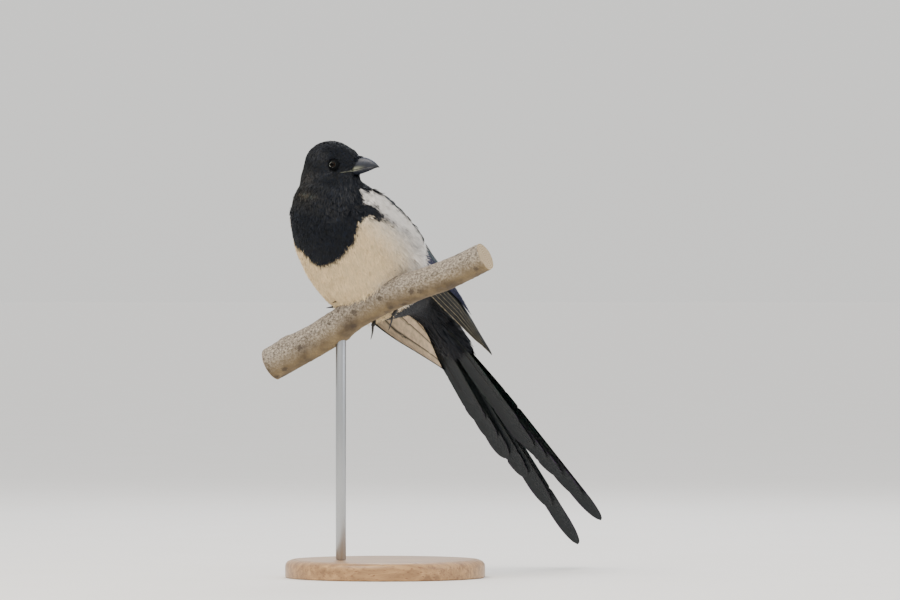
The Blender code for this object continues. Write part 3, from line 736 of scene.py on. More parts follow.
def unwrap(points):
    """The skin laid flat: the body as a rolled-out tube, and the head as a rolled-out ball above it."""
    middle = np.interp(points[:, 0], BODY_X, BODY_MIDDLE)
    round_body = np.arctan2(points[:, 2] - middle, points[:, 1]) / (2 * np.pi) + 0.5
    way = unit(points - HEAD_CENTRE) @ HEAD
    round_head = np.arctan2(way[:, 1], way[:, 0]) / (2 * np.pi) + 0.5
    on_head = from_head(points) < HEAD_REACH
    u = np.where(on_head, round_head, round_body)
    v = np.where(on_head, 0.84 + way[:, 2] * 0.14, 0.02 + (points[:, 0] + 80) / 260 * 0.64)
    return np.stack((0.01 + 0.98 * u, np.clip(v, 0.01, 0.99)), 1)


def strips(name, places, colours, bake):
    """One mesh of many narrow strips. places is strips by stations by 2 edges by 3."""
    count, stations = places.shape[:2]
    mesh = bpy.data.meshes.new(name)
    mesh.vertices.add(count * stations * 2)
    mesh.vertices.foreach_set("co", to_room(places.reshape(-1, 3)).ravel())
    first = (np.arange(count)[:, None] * stations + np.arange(stations - 1)) * 2
    quads = np.stack((first, first + 1, first + 3, first + 2), -1).reshape(-1, 4)
    mesh.loops.add(quads.size)
    mesh.loops.foreach_set("vertex_index", quads.ravel())
    mesh.polygons.add(len(quads))
    mesh.polygons.foreach_set("loop_start", np.arange(len(quads)) * 4)
    mesh.update(calc_edges=True)
    keep_colour(mesh, colours.reshape(-1, 3))
    layer = mesh.uv_layers.new(name="OFBake")
    layer.data.foreach_set("uv", bake.reshape(-1, 2)[quads.ravel()].ravel())
    mesh.polygons.foreach_set("use_smooth", np.ones(len(quads), bool))
    piece = bpy.data.objects.new(name, mesh)
    bpy.context.scene.collection.objects.link(piece)
    return piece


def walk(roots, lengths, sway):
    """Lines from the roots over the skin, by its lie turned a little by each feather's own sway."""
    places, normals = nearest_skin(roots)
    lines, ups, sides = [places], [normals], []
    for _ in range(STATIONS - 1):
        way = lie(lines[-1], ups[-1])
        way = unit(way + np.cross(ups[-1], way) * sway[:, None])
        sides.append(np.cross(ups[-1], way))
        place, normal = nearest_skin(lines[-1] + way * lengths[:, None] / (STATIONS - 1))
        lines.append(place)
        ups.append(unit(normal + ups[-1]))
    sides.append(sides[-1])
    return np.array(lines), np.array(ups), np.array(sides)


def at_station(values, place):
    """Values from a walk at a share of the way along it, one share to each feather."""
    spot = np.clip(place, 0, 0.9999) * (STATIONS - 1)
    low = spot.astype(int)
    part = (spot - low)[:, None]
    each = np.arange(values.shape[1])
    return values[low, each] * (1 - part) + values[low + 1, each] * part


ROOT_SHADE = 0.78  # of the tip's brightness, in the shade between the feathers
ROOT_SUNK = 0.25  # mm into the skin
BARB_LAP = 1.5  # widths of a barb to the room it has


def coat(name, wanted, spacing, length, width, barbs, steps, lift, loose, blunt, tone, slot, path=None):
    """A piece of the coat. Each feather is a fan of barbs over length and width in mm, with steps
    along each barb. lift is how high its tip stands, loose how far its barbs stray, blunt from 0 for
    pointed barbs to 1 for barbs that keep their width, and tone how much the barbs differ. The
    feathers follow the skin unless another path is given."""
    roots = scatter_roots(spacing, wanted)
    count = len(roots)
    lengths = length(roots) * rng.uniform(0.85, 1.15, count)
    widths = width(roots) * rng.uniform(0.85, 1.15, count)
    lines, ups, sides = (path or walk)(roots, lengths, rng.normal(0, 0.07 + 0.25 * loose, count))
    colour = plumage(roots)[0]
    each_tone = rng.normal(1, tone, count)
    # Dark feathers differ in tint, some bluer and some browner. Pale ones hardly do.
    warmth = rng.normal(0, 0.6 * tone, count) * (1 - 0.9 * ease(0.03, 0.2, colour.mean(1)))
    colour = colour * np.stack((1 + warmth, np.ones(count), 1 - warmth), 1)
    heights = lift(roots) * rng.uniform(0.7, 1.1, count)
    spots = unwrap(lines[0])
    places = np.zeros((barbs, steps + 1, 2, count, 3))
    colours = np.zeros((barbs, steps + 1, 2, count, 3))
    bake = np.zeros((barbs, steps + 1, 2, count, 2))
    for j in range(barbs):
        u = 2 * (j + 0.5) / barbs - 1 + rng.normal(0, 0.3 / barbs, count)
        reach = (1 - 0.3 * u * u) * rng.uniform(1 - 0.22 * loose - 0.06, 1, count)
        stray = rng.normal(0, 0.35 * loose, count)
        rise = rng.normal(0, 0.25 * loose + 0.03, count)
        barb_tone = each_tone * rng.normal(1, tone, count)
        roll = rng.normal(0, 0.45, count)
        for i in range(steps + 1):
            v = i / steps
            spot = v * reach
            centre, up, side = (at_station(values, spot) for values in (lines, ups, sides))
            fan = u * (0.35 + 0.65 * math.sin(math.pi * min(0.12 + 0.62 * v, 0.5)))
            off = widths * (fan + stray * v * v)
            high = heights * (v**0.8 + rise * v - 0.12 * u * u) + 0.02 * j / barbs
            high -= ROOT_SUNK * (1 - v)
            taper = 1 - (1 - 0.75 * blunt) * v**1.5 if i < steps else 0.12 + 0.3 * blunt
            half = widths / barbs * BARB_LAP * taper
            middle = centre + side * off[:, None] + up * high[:, None]
            shade = colour * (barb_tone * (ROOT_SHADE + (1 - ROOT_SHADE) * v))[:, None]
            for edge, sign in ((0, -1), (1, 1)):
                places[j, i, edge] = middle + (side + up * roll[:, None]) * (sign * half)[:, None]
                colours[j, i, edge] = shade
                bake[j, i, edge] = spots + BAKE_PATCH * np.stack((0.5 * u, np.full(count, v - 0.5)), 1)
                bake[j, i, edge, :, 0] += sign * BAKE_PATCH * 0.5 / barbs
    places, colours, bake = (
        a.transpose(3, 0, 1, 2, 4).reshape(-1, steps + 1, 2, a.shape[-1])
        for a in (places, colours, bake)
    )
    set_down(strips(name, places, np.clip(colours, 0, 1), bake), name, barb, slot)


# Barbs: black ones are smooth with a cool gloss, white ones are soft and matt. The sheen is the
# light that the finest barbules catch along the edge of the form.
barb, tree, surface = new_material(
    "contour feather barbs", Sheen_Weight=0.015, Sheen_Roughness=0.5, Specular_IOR_Level=0.25
)
dyed = add_node(tree, "Attribute", attribute_name="plumage")
paleness = add_node(tree, "RGBToBW", {"Color": dyed})
soft = add_node(tree, "MapRange", {"Value": paleness, "From Max": 0.4, "To Min": 0.5, "To Max": 0.85})
wire(surface, {"Base Color": dyed, "Roughness": soft})


def steady(value):
    return lambda points: np.full(len(points), float(value))


def from_bill(points):
    return np.linalg.norm(points - BILL_BASE, axis=1)


def on_gape(points):
    """Where the bare edge of the mouth runs back over the cheek, free of feathers."""
    x, y, z = ((points - HEAD_CENTRE) @ HEAD).T
    above = z + 6.5 - (x - 16) * 0.14
    return (x > 13) & (x < 27) & (above > -0.5) & (above < 1.5)


def shoulder_edge(points):
    """Degrees above the lower edge of the white shoulder feathers."""
    return flank_angle(points) - np.interp(points[:, 0], *SCAPULAR_LOW)


def is_white(points):
    return plumage(points)[1] > 0.5


def is_black(points):
    return plumage(points)[1] < 0.5


coat(
    "coat_head", lambda p: (from_head(p) < 26) & (from_eye(p) > 2.7) & ~on_gape(p), spacing=0.85,
    length=lambda p: (3.4 + 3.6 * ease(14, 36, from_bill(p))) * (0.4 + 0.6 * ease(3, 8, from_eye(p))),
    width=lambda p: (0.8 + 0.5 * ease(14, 36, from_bill(p))) * (0.6 + 0.4 * ease(3, 6, from_eye(p))),
    barbs=5, steps=2, lift=lambda p: 0.35 + 0.45 * ease(3, 8, from_eye(p)),
    loose=0.25, blunt=0.3, tone=0.35, slot="black_plumage",
)
coat(
    "coat_bib",
    lambda p: (from_head(p) > 25) & is_black(p) & (p[:, 0] > 118) & (flank_angle(p) < 34),
    spacing=1.1, length=steady(7.5), width=steady(1.7), barbs=7, steps=2,
    lift=lambda p: 2.2 - 1.5 * ease(0, 20, flank_angle(p)),
    loose=0.3, blunt=0.25, tone=0.3, slot="black_plumage",
)
for side_name, side in (("left", 1), ("right", -1)):
    coat(
        "coat_belly_" + side_name,
        lambda p: is_white(p) & (side * p[:, 1] > -0.5) & (shoulder_edge(p) < -1),
        spacing=1.42, length=lambda p: 9 + 5 * ease(110, 60, p[:, 0]), width=steady(2.5),
        barbs=9, steps=3, lift=steady(2.4), loose=0.6, blunt=0.15, tone=0.07, slot="body_plumage",
    )
    coat(
        "coat_coverts_" + side_name,
        lambda p: is_black(p) & (side * p[:, 1] > 0) & (flank_angle(p) <= 44)
        & (p[:, 0] > 56) & (p[:, 0] < 146) & (flank_angle(p) > -8),
        spacing=2.0, length=lambda p: 12 - 4 * ease(112, 126, p[:, 0]), width=steady(3.0),
        barbs=11, steps=3, lift=lambda p: 1.8 + 0.5 * ease(112, 126, p[:, 0]),
        loose=0.15, blunt=0.5, tone=0.25, slot="black_plumage",
    )
    coat(
        "coat_scapulars_" + side_name,
        lambda p: is_white(p) & (side * p[:, 1] > 0) & (flank_angle(p) >= -4)
        & (shoulder_edge(p) > -1.5),
        spacing=1.9, length=lambda p: 11 + 10 * ease(136, 100, p[:, 0]),
        width=lambda p: 2.4 + 1.4 * ease(136, 100, p[:, 0]), barbs=13, steps=4, lift=steady(2.4),
        loose=0.18, blunt=0.5, tone=0.05, slot="white_plumage",
    )
coat(
    "coat_mantle",
    lambda p: (flank_angle(p) > 30) & is_black(p) & (from_head(p) > 25) & (p[:, 0] > -54),
    spacing=1.96, length=lambda p: 8 + 5 * ease(150, 110, p[:, 0]),
    width=lambda p: 2.4 + 1.4 * ease(150, 110, p[:, 0]), barbs=9, steps=3,
    lift=lambda p: 1.9 - 0.9 * ease(118, 132, p[:, 0]),
    loose=0.15, blunt=0.45, tone=0.14, slot="black_plumage",
)
coat(
    "coat_undertail",
    lambda p: (flank_angle(p) <= 30) & is_black(p) & (p[:, 0] < 62) & (p[:, 0] > -22),
    spacing=2.05, length=lambda p: 10 + 12 * ease(40, 0, p[:, 0]),
    width=lambda p: 2.6 + 2.0 * ease(40, 0, p[:, 0]), barbs=11, steps=4, lift=steady(2.0),
    loose=0.25, blunt=0.4, tone=0.12, slot="black_plumage",
)

BARK_GAP = 0.7  # mm


def clear_of_perch(points):
    """Points pushed out of the branch to just above its bark, and how far off it each one was."""
    out = to_room(points) - np.array(PERCH_CENTRE)
    t = out @ np.array(PERCH_WAY)
    arch = -PERCH_ARCH * (1 - np.exp(-((t / ARCH_REACH) ** 2)))
    core = t[:, None] * np.array(PERCH_WAY) + arch[:, None] * np.array(PERCH_UP)
    off = out - core
    far = np.linalg.norm(off, axis=1)[:, None]
    near = (PERCH_RADIUS * (1 - PERCH_TAPER * t / MM) + BARK_GAP * MM)[:, None]
    clear = np.array(PERCH_CENTRE) + core + off / far * np.maximum(far, near)
    return to_bird(clear), (far - near)[:, 0] / MM


def hang_down(roots, lengths, sway):
    """Lines that leave the skin and hang over the branch, as the fluffed belly does round the feet."""
    places, normals = nearest_skin(roots)
    down = BIRD @ np.array((0, 0, -1.0))
    way = unit(0.75 * lie(places, normals) + 0.6 * down + 0.3 * normals)
    side = np.cross(normals, way)
    way = unit(way + side * sway[:, None] * 1.3)
    shares = np.linspace(0, 1, STATIONS)[:, None, None]
    lines = places + shares * lengths[None, :, None] * (way + 0.25 * shares * down)
    lines = np.array([clear_of_perch(line)[0] for line in lines])
    return lines, np.array([normals] * STATIONS), np.array([unit(side)] * STATIONS)


def off_bark(points):
    return clear_of_perch(points)[1]


coat(
    "coat_fringe", lambda p: is_white(p) & (off_bark(p) < 5) & (off_bark(p) > 0.8) & (p[:, 0] > 30),
    spacing=1.9, length=steady(6.5), width=steady(1.5), barbs=7, steps=3, lift=steady(0.8),
    loose=1.2, blunt=0.1, tone=0.14, slot="body_plumage", path=hang_down,
)
for side_name, side in (("left", 1), ("right", -1)):
    coat(
        "coat_flank_" + side_name,
        lambda p: (side * p[:, 1] > 0) & (p[:, 0] > 44) & (p[:, 0] < 84) & (flank_angle(p) > 2)
        & (shoulder_edge(p) < -4) & is_white(p),
        spacing=2.4, length=steady(11), width=steady(2.6), barbs=9, steps=3, lift=steady(4.6),
        loose=0.6, blunt=0.1, tone=0.1, slot="body_plumage",
    )

# ---------------------------------------------------------------------------------------------
# The flight feathers of the folded wings: stiff vanes with a shaft, laid on the wing's oval. The inner
# ones lie on top. The blue secondaries cover the black primaries, whose inner webs are white.

WING_X = (-80, -56, 0, 27, 50, 75, 100, 125, 150)
WING_MIDDLE = (0, 0, -4, -9, -15, -17, -17, -15.5, -14.5)
WING_WIDE = (28.3, 29.4, 32.4, 35, 40, 44.5, 45, 42, 32)
WING_DEEP = (15, 20, 34, 38, 40, 44, 45, 42, 33)
WING_TALL = (13, 16, 27, 34, 40, 44.5, 45, 42, 33)
VANE_THICK = 0.35  # mm, across both faces
SHAFT = 0.5  # mm, the half width at its root
NICK_WIDE = 1.1  # mm
BARB_SLANT = 0.9  # mm towards the tip for each mm out from the shaft


def on_wing(x, angle, out, side):
    """Points on the wing's oval, at degrees above the side and out from its surface."""
    turn = np.radians(angle)
    high = np.where(turn > 0, np.interp(x, WING_X, WING_TALL), np.interp(x, WING_X, WING_DEEP)) + out
    wide = np.interp(x, WING_X, WING_WIDE) + out
    middle = np.interp(x, WING_X, WING_MIDDLE)
    return np.stack((x + 0 * turn, side * wide * np.cos(turn), middle + high * np.sin(turn)), 1)


def last_shares(piece):
    """A new grid's shares across and along, from the map that its primitive comes with."""
    corners = np.zeros(len(piece.data.loops), int)
    piece.data.loops.foreach_get("vertex_index", corners)
    places = np.zeros(len(corners) * 2)
    piece.data.uv_layers[0].data.foreach_get("uv", places)
    shares = np.zeros((len(piece.data.vertices), 2))
    shares[corners] = places.reshape(-1, 2)
    return shares[:, 0], shares[:, 1]


def vane(lay, length, outer, inner, paint, nicks, cells=24, rows=72):
    """One flight feather and its shaft. lay(share, off, high) puts points on the bird, from a share of
    the length, mm towards the inner edge and mm above the middle. outer and inner are the widths of
    its two webs along it, and paint gives its colour from its web, share and face."""
    spots = np.array([nicks.uniform(0.35, 0.9) for _ in range(2)])
    depths = nicks.uniform(0.04, 0.12, 2) * length / 100

    def width(u, share):
        cut = sum(
            depth * np.exp(-(((share - spot - 0.015 * u) * length / NICK_WIDE) ** 2))
            for spot, depth in zip(spots, depths)
        )
        return np.where(u < 0, outer(share), inner(share)) * (1 - cut * (np.abs(u) > 0.5))

    def web(s):
        return np.where(s < 0.5, 4 * s - 1, 3 - 4 * s)

    def place(s, share):
        u, face = web(s), np.where(s < 0.5, 1, -1)
        high = face * VANE_THICK / 2 * np.sqrt(np.clip(1 - u**2, 0, 1)) * (1 - 0.5 * share)
        return to_room(lay(share, u * width(u, share), high))

    blade = grid_piece(
        cells, rows, place,
        barb=lambda s, share: share * length - BARB_SLANT * np.abs(web(s)) * outer(share) * 2,
        under=lambda s, share: (s > 0.5) & (s < 0.999),
    )
    s, share = (np.round(a, 6) for a in last_shares(blade))
    keep_colour(blade.data, paint(web(s), share, s > 0.5))
    close_up(blade)
    shaft = grid_piece(
        8, rows, lambda s, share: to_room(lay(
            share * 0.97, SHAFT * (1.05 - share) * np.cos(2 * np.pi * s),
            SHAFT * (1.05 - share) * 0.9 * np.sin(2 * np.pi * s),
        )),
        barb=lambda s, share: 0.0, under=lambda s, share: s > 0.5,
    )
    s, share = last_shares(shaft)
    keep_colour(shaft.data, np.tile(SHAFT_COLOUR, (len(s), 1)))
    close_up(shaft)
    return [blade, shaft]


def rounded_tip(share, start):
    """1 along a feather, falling in a round arc to almost nothing at its tip."""
    return np.sqrt(np.clip(1 - (np.clip(share - start, 0, 1) / (1.0 - start)) ** 2, 0.0025, 1))


def web_width(wide, round_from, root, full_from):
    """A web's width along the feather: root of it at the root, and all of it until the tip rounds."""
    return lambda share: wide * rounded_tip(share, round_from) * (
        root + (1 - root) * ease(0, full_from, share)
    )


SHAFT_COLOUR = dye("#1a1714")
WING_BLUE, WING_GREEN, WING_BLACK = dye("#1b1f4a"), dye("#16303a"), dye("#15171a")
WEB_WHITE, FRINGE = dye("#e3c9a6"), dye("#837960")

# Vane: glossy keratin barbs hooked into a smooth web. Their fine ridges run out from the shaft and give
# a blue or green shine on the upper face. The under face is a dull slate.
BARB_PITCH = 0.9  # mm. Real barbs are nearer 0.4 mm apart, too fine to show.
vane_finish, tree, surface = new_material(
    "hooked keratin vane", Roughness=0.5, Specular_IOR_Level=0.15
)
dyed = add_node(tree, "Attribute", attribute_name="plumage")
coords = add_node(tree, "TexCoord").outputs["Object"]
uneven = add_node(tree, "TexNoise", {"Vector": coords, "Scale": 260.0, "Detail": 3.0})
shade = add_node(
    tree, "MapRange",
    {"Value": uneven, "From Min": 0.3, "From Max": 0.7, "To Min": 0.78, "To Max": 1.15},
)
toned = add_node(tree, "VectorMath", {0: dyed, "Scale": shade}, operation="SCALE")
paleness = add_node(tree, "RGBToBW", {"Color": dyed})
dark_web = add_node(
    tree, "MapRange",
    {"Value": paleness, "From Min": 0.02, "From Max": 0.2, "To Min": 0.45, "To Max": 0.0},
)
under_face = add_node(tree, "Attribute", attribute_name="under").outputs["Fac"]
shine = add_node(tree, "MapRange", {"Value": under_face, "To Min": 1.0, "To Max": 0.15})
metal = add_node(tree, "Math", {0: dark_web, 1: shine}, operation="MULTIPLY")
along_barbs = add_node(tree, "Attribute", attribute_name="barb").outputs["Fac"]
turn = add_node(tree, "Math", {0: along_barbs, 1: 2 * math.pi / BARB_PITCH}, operation="MULTIPLY")
ridge = add_node(tree, "Math", {0: turn}, operation="SINE")
ribbed = add_node(tree, "Bump", {"Height": ridge, "Strength": 0.25, "Distance": 0.2 * MM})
wire(surface, {"Base Color": toned, "Metallic": metal, "Normal": ribbed})

# Where the feathers lie, as degrees above the side at places along the bird: the secondaries from
# their lowest to their highest, and the primaries from a hanging lower edge up. The right wing hangs
# lower and fans wider, so that its white inner webs show under the body.
SECONDARY_X = (-30, 8, 38, 64)
SECONDARY_LOW = {"left": (17, 20, 14, -3), "right": (6.5, -9.5, -9, -3)}
SECONDARY_HIGH = (40, 66, 64, 48)
SECONDARY_ENDS = (26, 14, 4, -2, -6, -9, -12, -15, -18)
SECONDARY_ROOT, PRIMARY_ROOT = 66, 64
PRIMARY_ENDS = (-26, -30, -35, -41, -47)
PRIMARY_ENDS_FROM_TIP = (4, 0, 0, 6, 14)
HANG = {"left": (2, -3, -6, -4, -12), "right": (-24, -42, -64, -41, -12)}
WING_TIP = {"left": -55, "right": -90}
SPREAD = {
    "left": (0, 0.12, 0.24, 0.35, 0.46, 0.57, 0.68, 0.79, 0.9, 1),
    "right": (0, 0.06, 0.12, 0.18, 0.24, 0.3, 0.37, 0.65, 0.98, 1),
}
nicks = np.random.default_rng(SEED + 1)
for side_name, side in (("left", 1), ("right", -1)):
    tip = WING_TIP[side_name]
    feathers = []
    for k, end in enumerate(SECONDARY_ENDS):

        def lay(share, off, high):
            x = SECONDARY_ROOT + (end - SECONDARY_ROOT) * share
            low = np.interp(x, SECONDARY_X, SECONDARY_LOW[side_name]) + 10 + 12 * share
            top = np.interp(x, SECONDARY_X, SECONDARY_HIGH) - 10
            angle = low + (top - low) * (1 - k / 8) * (1 - 0.12 * share) + np.degrees(off / 37)
            return on_wing(x, angle, 1.75 - 0.26 * k + 0.15 * share + high, side)

        def paint(u, share, under):
            hue = WING_BLUE if k else WING_GREEN
            top = blend(hue, WING_BLACK, ease(-0.75, 0.1, u) * 0.9 + 0.1 + ease(-0.84, -0.95, u))
            return blend(top, WING_BLACK * 1.6, under)

        feathers += vane(
            lay, SECONDARY_ROOT - end, web_width(6.6, 0.8, 0.55, 0.3),
            web_width(7.6, 0.8, 0.55, 0.3), paint, nicks,
        )
    set_down(
        gather(feathers), "secondary_feathers_" + side_name, vane_finish, "flight_feathers",
        "secondaries_" + side_name,
    )

    primary_x = (tip, tip + 22, 0, 34, 62)
    primary_high = (HANG[side_name][0] + 5, 18, 26, 22, -5)
    ends = (*PRIMARY_ENDS, *[tip + short for short in PRIMARY_ENDS_FROM_TIP])
    feathers = []
    for k, (end, spread) in enumerate(zip(ends, SPREAD[side_name])):

        def lay(share, off, high):
            x = PRIMARY_ROOT + (end - PRIMARY_ROOT) * share
            low = np.interp(x, primary_x, HANG[side_name]) + 4
            top = np.interp(x, primary_x, primary_high) + 4
            angle = low + (top - low) * (1 - spread) + np.degrees(off / 35)
            return on_wing(x, angle, -1.55 - 0.16 * k + high, side)

        def paint(u, share, under):
            # The inner web is white but for its edge and tip, where the secondaries do not cover it.
            # Every other outer web has a pale fringe.
            inner = ease(0.06, 0.14, u) * ease(0.97, 0.86, u) * ease(0.12, 0.2, share) * (k > 4)
            inner = inner * ease(0.90, 0.86, share + 0.05 * (2 * u - 1) ** 2)
            fringe = ease(-0.74, -0.88, u) * (1 - under) * (0.15 + 0.85 * (k % 2))
            return blend(blend(WING_BLACK, FRINGE, fringe), WEB_WHITE, inner)

        far = 18 if side < 0 and k > 6 else 12.5
        feathers += vane(
            lay, PRIMARY_ROOT - end, web_width(2.6, 0.78, 0.5, 0.25),
            web_width(far, 0.72, 0.45, 0.3), paint, nicks,
        )
    set_down(
        gather(feathers), "primary_feathers_" + side_name, vane_finish, "flight_feathers",
        "primaries_" + side_name,
    )

# ---------------------------------------------------------------------------------------------
# The tail: twelve long stepped feathers, six to a side, closed to a narrow wedge. The middle pair is
# the longest and lies on top. Above they shine green and bronze, and below they are a dull slate.

TAIL_START = 16
TAIL_TOP = 3.6
TAIL_LAYER = 1.08
TAIL_DROOP = math.radians(6.5)
TAIL_LENGTHS = {"l": (237, 210, 184, 163, 148, 120), "r": (262, 218, 183, 161, 140, 118)}
TAIL_ANGLES = {"l": (8.6, 8.2, 7.4, 6.4, 4.8, 5.6), "r": (-0.6, -1.2, -2.4, -4.5, -4.3, -4.3)}
TAIL_LAYERS = {"l": (0, 2, 4, 5, 6, 7), "r": (1, 3, 4, 5, 6, 7)}
TAIL_GREEN, TAIL_BRONZE, TAIL_PURPLE = dye("#16423a"), dye("#3d3a22"), dye("#3a1f4a")
TAIL_SLATE, TAIL_BLACK = dye("#0a1115"), dye("#07090c")
TAIL_WEB = 9

for side_name, side in (("l", 1), ("r", -1)):
    for k, length in enumerate(TAIL_LENGTHS[side_name]):
        turn = -math.radians(TAIL_ANGLES[side_name][k])
        base = TAIL_TOP - TAIL_LAYER * TAIL_LAYERS[side_name][k]
        shaft_off = 0.55 * (k + 0.6)
        bend = nicks.normal(0, 0.5)

        def lay(share, off, high):
            x = -(TAIL_START + share * (length - TAIL_START))
            across = off - shaft_off
            y = -side * across + bend * share**2
            z = high - 0.45 * (across / TAIL_WEB) ** 2
            y, x = x * math.sin(turn) + y * math.cos(turn), x * math.cos(turn) - y * math.sin(turn)
            y, z = y + side * 1.2 * (k + 0.5), z + base
            c, s = math.cos(TAIL_DROOP), math.sin(TAIL_DROOP)
            return np.stack((x * c - z * s, y, x * s + z * c), 1)

        def paint(u, share, under):
            bright = blend(TAIL_GREEN, TAIL_BRONZE, 0.4 + 0.4 * np.sin(share * 9))
            bright = blend(bright, TAIL_PURPLE, ease(0.72, 0.86, share) * ease(1.0, 0.93, share))
            inner = ease(-0.05, 0.5, u) * (0.85 if k else 0.25)
            dark = 0.75 * ease(0.7, 0.95, np.abs(u)) + 0.5 * ease(0.1, 0.0, np.abs(u))
            below = blend(TAIL_SLATE, TAIL_BLACK, dark)
            return blend(blend(bright, TAIL_BLACK, inner), below, under)

        def wide(share):
            return (0.2 + 0.8 * ease(-0.08, 0.42, share)) * rounded_tip(share, 0.87)

        pieces = vane(
            lay, length - TAIL_START, lambda share: (TAIL_WEB - shaft_off) * wide(share),
            lambda share: (TAIL_WEB + shaft_off) * wide(share), paint, nicks, cells=28, rows=110,
        )
        set_down(
            gather(pieces), f"tail_vane_{side_name}{k + 1}", vane_finish, "tail_feathers",
            f"tail_feather_{side_name}{k + 1}",
        )

# ---------------------------------------------------------------------------------------------
# The eyes: dark brown glass eyes with a black pupil under a clear swell, set in thin folded lids.
# Broken pale grey arcs are painted along the rims of the lids, most of them towards the back.

glass_eye, tree, surface = new_material(
    "painted glass eye", Roughness=0.3, Specular_IOR_Level=0.0,
    Coat_Weight=0.3, Coat_Roughness=0.02, Coat_IOR=1.3,
)
coords = add_node(tree, "TexCoord").outputs["Object"]
from_axis = add_node(tree, "Attribute", attribute_name="from_axis").outputs["Fac"]
flecks = add_node(tree, "TexNoise", {"Vector": coords, "Scale": 1800.0, "Detail": 4.0})
wander = add_node(tree, "Math", {0: flecks, 1: 0.05, 2: from_axis}, operation="MULTIPLY_ADD")
iris = add_node(
    tree, "ValToRGB", {"Fac": wander},
    [(0.30, "#010101"), (0.85, "#030202"), (0.33, "#120a06"), (0.56, "#1a0f08"), (0.66, "#080504")],
)
wire(surface, {"Base Color": iris})

# Lid skin: bare, dull and finely wrinkled.
lid_skin, tree, surface = new_material(
    "folded eyelid skin", Roughness=0.75, Specular_IOR_Level=0.08
)
dyed = add_node(tree, "Attribute", attribute_name="plumage")
coords = add_node(tree, "TexCoord").outputs["Object"]
grain = add_node(tree, "TexNoise", {"Vector": coords, "Scale": 3500.0, "Detail": 3.0})
wrinkled = add_node(tree, "Bump", {"Height": grain, "Strength": 0.4, "Distance": 0.1 * MM})
wire(surface, {"Base Color": dyed, "Normal": wrinkled})
LID_DARK, LID_PALE = dye("#07080a"), dye("#8b918c")
EYE_OPEN = (2.45, 2.1)
LID_WIDE = 3.2
EYE_SWELL = 0.35
ON_BALL = 5.2  # mm round the ball, past which the lid leaves it for the cheek

for side_name, side, centre, axis in zip(("left", "right"), (1, -1), eye_centres, eye_axes):
    axis = axis / np.linalg.norm(axis)
    front = unit(HEAD[:, 0] - axis * (HEAD[:, 0] @ axis))
    top = np.cross(axis, front) * side
    pick()
    bpy.ops.mesh.primitive_uv_sphere_add(segments=48, ring_count=40, radius=EYE_RADIUS)
    ball = bpy.context.object
    spots = mesh_points(ball.data)
    off = np.hypot(spots[:, 0], spots[:, 1])
    swell = EYE_SWELL * ease(2.3, 0.8, off) * (spots[:, 2] > 0)
    spots *= (1 + swell / EYE_RADIUS)[:, None]
    turned = centre + spots[:, :1] * front + spots[:, 1:2] * np.cross(axis, front) + spots[:, 2:] * axis
    ball.data.vertices.foreach_set("co", to_room(turned).ravel())
    kept = ball.data.attributes.new("from_axis", "FLOAT", "POINT")
    kept.data.foreach_set("value", np.where(spots[:, 2] > 0, off / EYE_RADIUS, 1.0))
    bpy.ops.object.shade_smooth()
    set_down(ball, "glass_eye_" + side_name, glass_eye, "eye", "eye_" + side_name)

    def lid_place(s, t):
        """A flat tube round the eye's slit, from its rim over the ball and out on to the cheek."""
        turn, round_tube = 2 * np.pi * t, 2 * np.pi * s
        slit = 1 / np.hypot(np.cos(turn) / EYE_OPEN[0], np.sin(turn) / EYE_OPEN[1])
        slit = slit + 0.4 * np.exp(-(((turn - np.pi) / 0.35) ** 2))
        polar = slit + LID_WIDE / 2 * (1 + np.cos(round_tube))
        folds = 0.07 * np.sin(9 * turn + 3 * polar) + 0.06 * np.sin(polar * 7)
        radius = EYE_RADIUS + 0.12 + (0.30 + folds) * np.sin(round_tube)
        radial = np.cos(turn)[:, None] * front + np.sin(turn)[:, None] * top
        out = np.minimum(polar, ON_BALL) / EYE_RADIUS
        ball = centre + radius[:, None] * (np.sin(out)[:, None] * radial + np.cos(out)[:, None] * axis)
        beyond = radial * np.maximum(polar - ON_BALL, 0)[:, None]
        cheek, way = nearest_skin(ball + beyond)
        cheek = cheek + way * (0.25 + (0.3 + folds) * np.sin(round_tube))[:, None]
        return to_room(blend(ball + beyond, cheek, ease(1.0, 2.4, polar - slit)))

    lid = grid_piece(40, 128, lid_place)
    s, t = last_shares(lid)
    rim = ease(-0.82, -0.94, np.cos(2 * np.pi * s))
    breaks = ease(0.15, 0.6, -0.7 * np.cos(2 * np.pi * t) + 0.45 * np.sin(10 * np.pi * t + 0.6))
    keep_colour(lid.data, blend(LID_DARK, LID_PALE, rim * (0.08 + 0.92 * breaks)))
    close_up(lid)
    set_down(lid, "eyelids_" + side_name, lid_skin, "black_plumage")

# ---------------------------------------------------------------------------------------------
# The bill: two horn sheaths, the upper arched and hooked over the lower at its tip. The gape runs back
# on to the cheek, and stiff bristles lie forward over the base and hide the nostrils.

BILL_X = (14.5, 17, 20, 24, 28.6, 33, 37.5, 41, 43.8)
BILL_RIDGE = (3.4, 4.2, 4.6, 5.0, 4.8, 3.9, 1.9, -0.9, -4.0)
BILL_CLOSE = (-6.7, -6.4, -5.9, -5.4, -4.9, -4.4, -4.0, -3.9, -4.9)
BILL_KEEL = (-9.8, -9.6, -9.3, -9.0, -8.3, -7.2, -6.0, -4.9, -4.9)
BILL_HALF = (7.2, 6.2, 5.2, 5.1, 4.7, 3.9, 2.9, 1.8, 0.5)
FLANGE_END = 28
CHEEK_FAR = 25  # mm out to the side, from where the cheek is felt for


def smooth_row(x, row):
    """A row of the table at x, along a smooth curve through its values."""
    reach = np.minimum(1.6, BILL_X[-1] - x)
    return sum(np.interp(x + d * reach, BILL_X, row) for d in (-1, -0.5, 0, 0.5, 1)) / 5


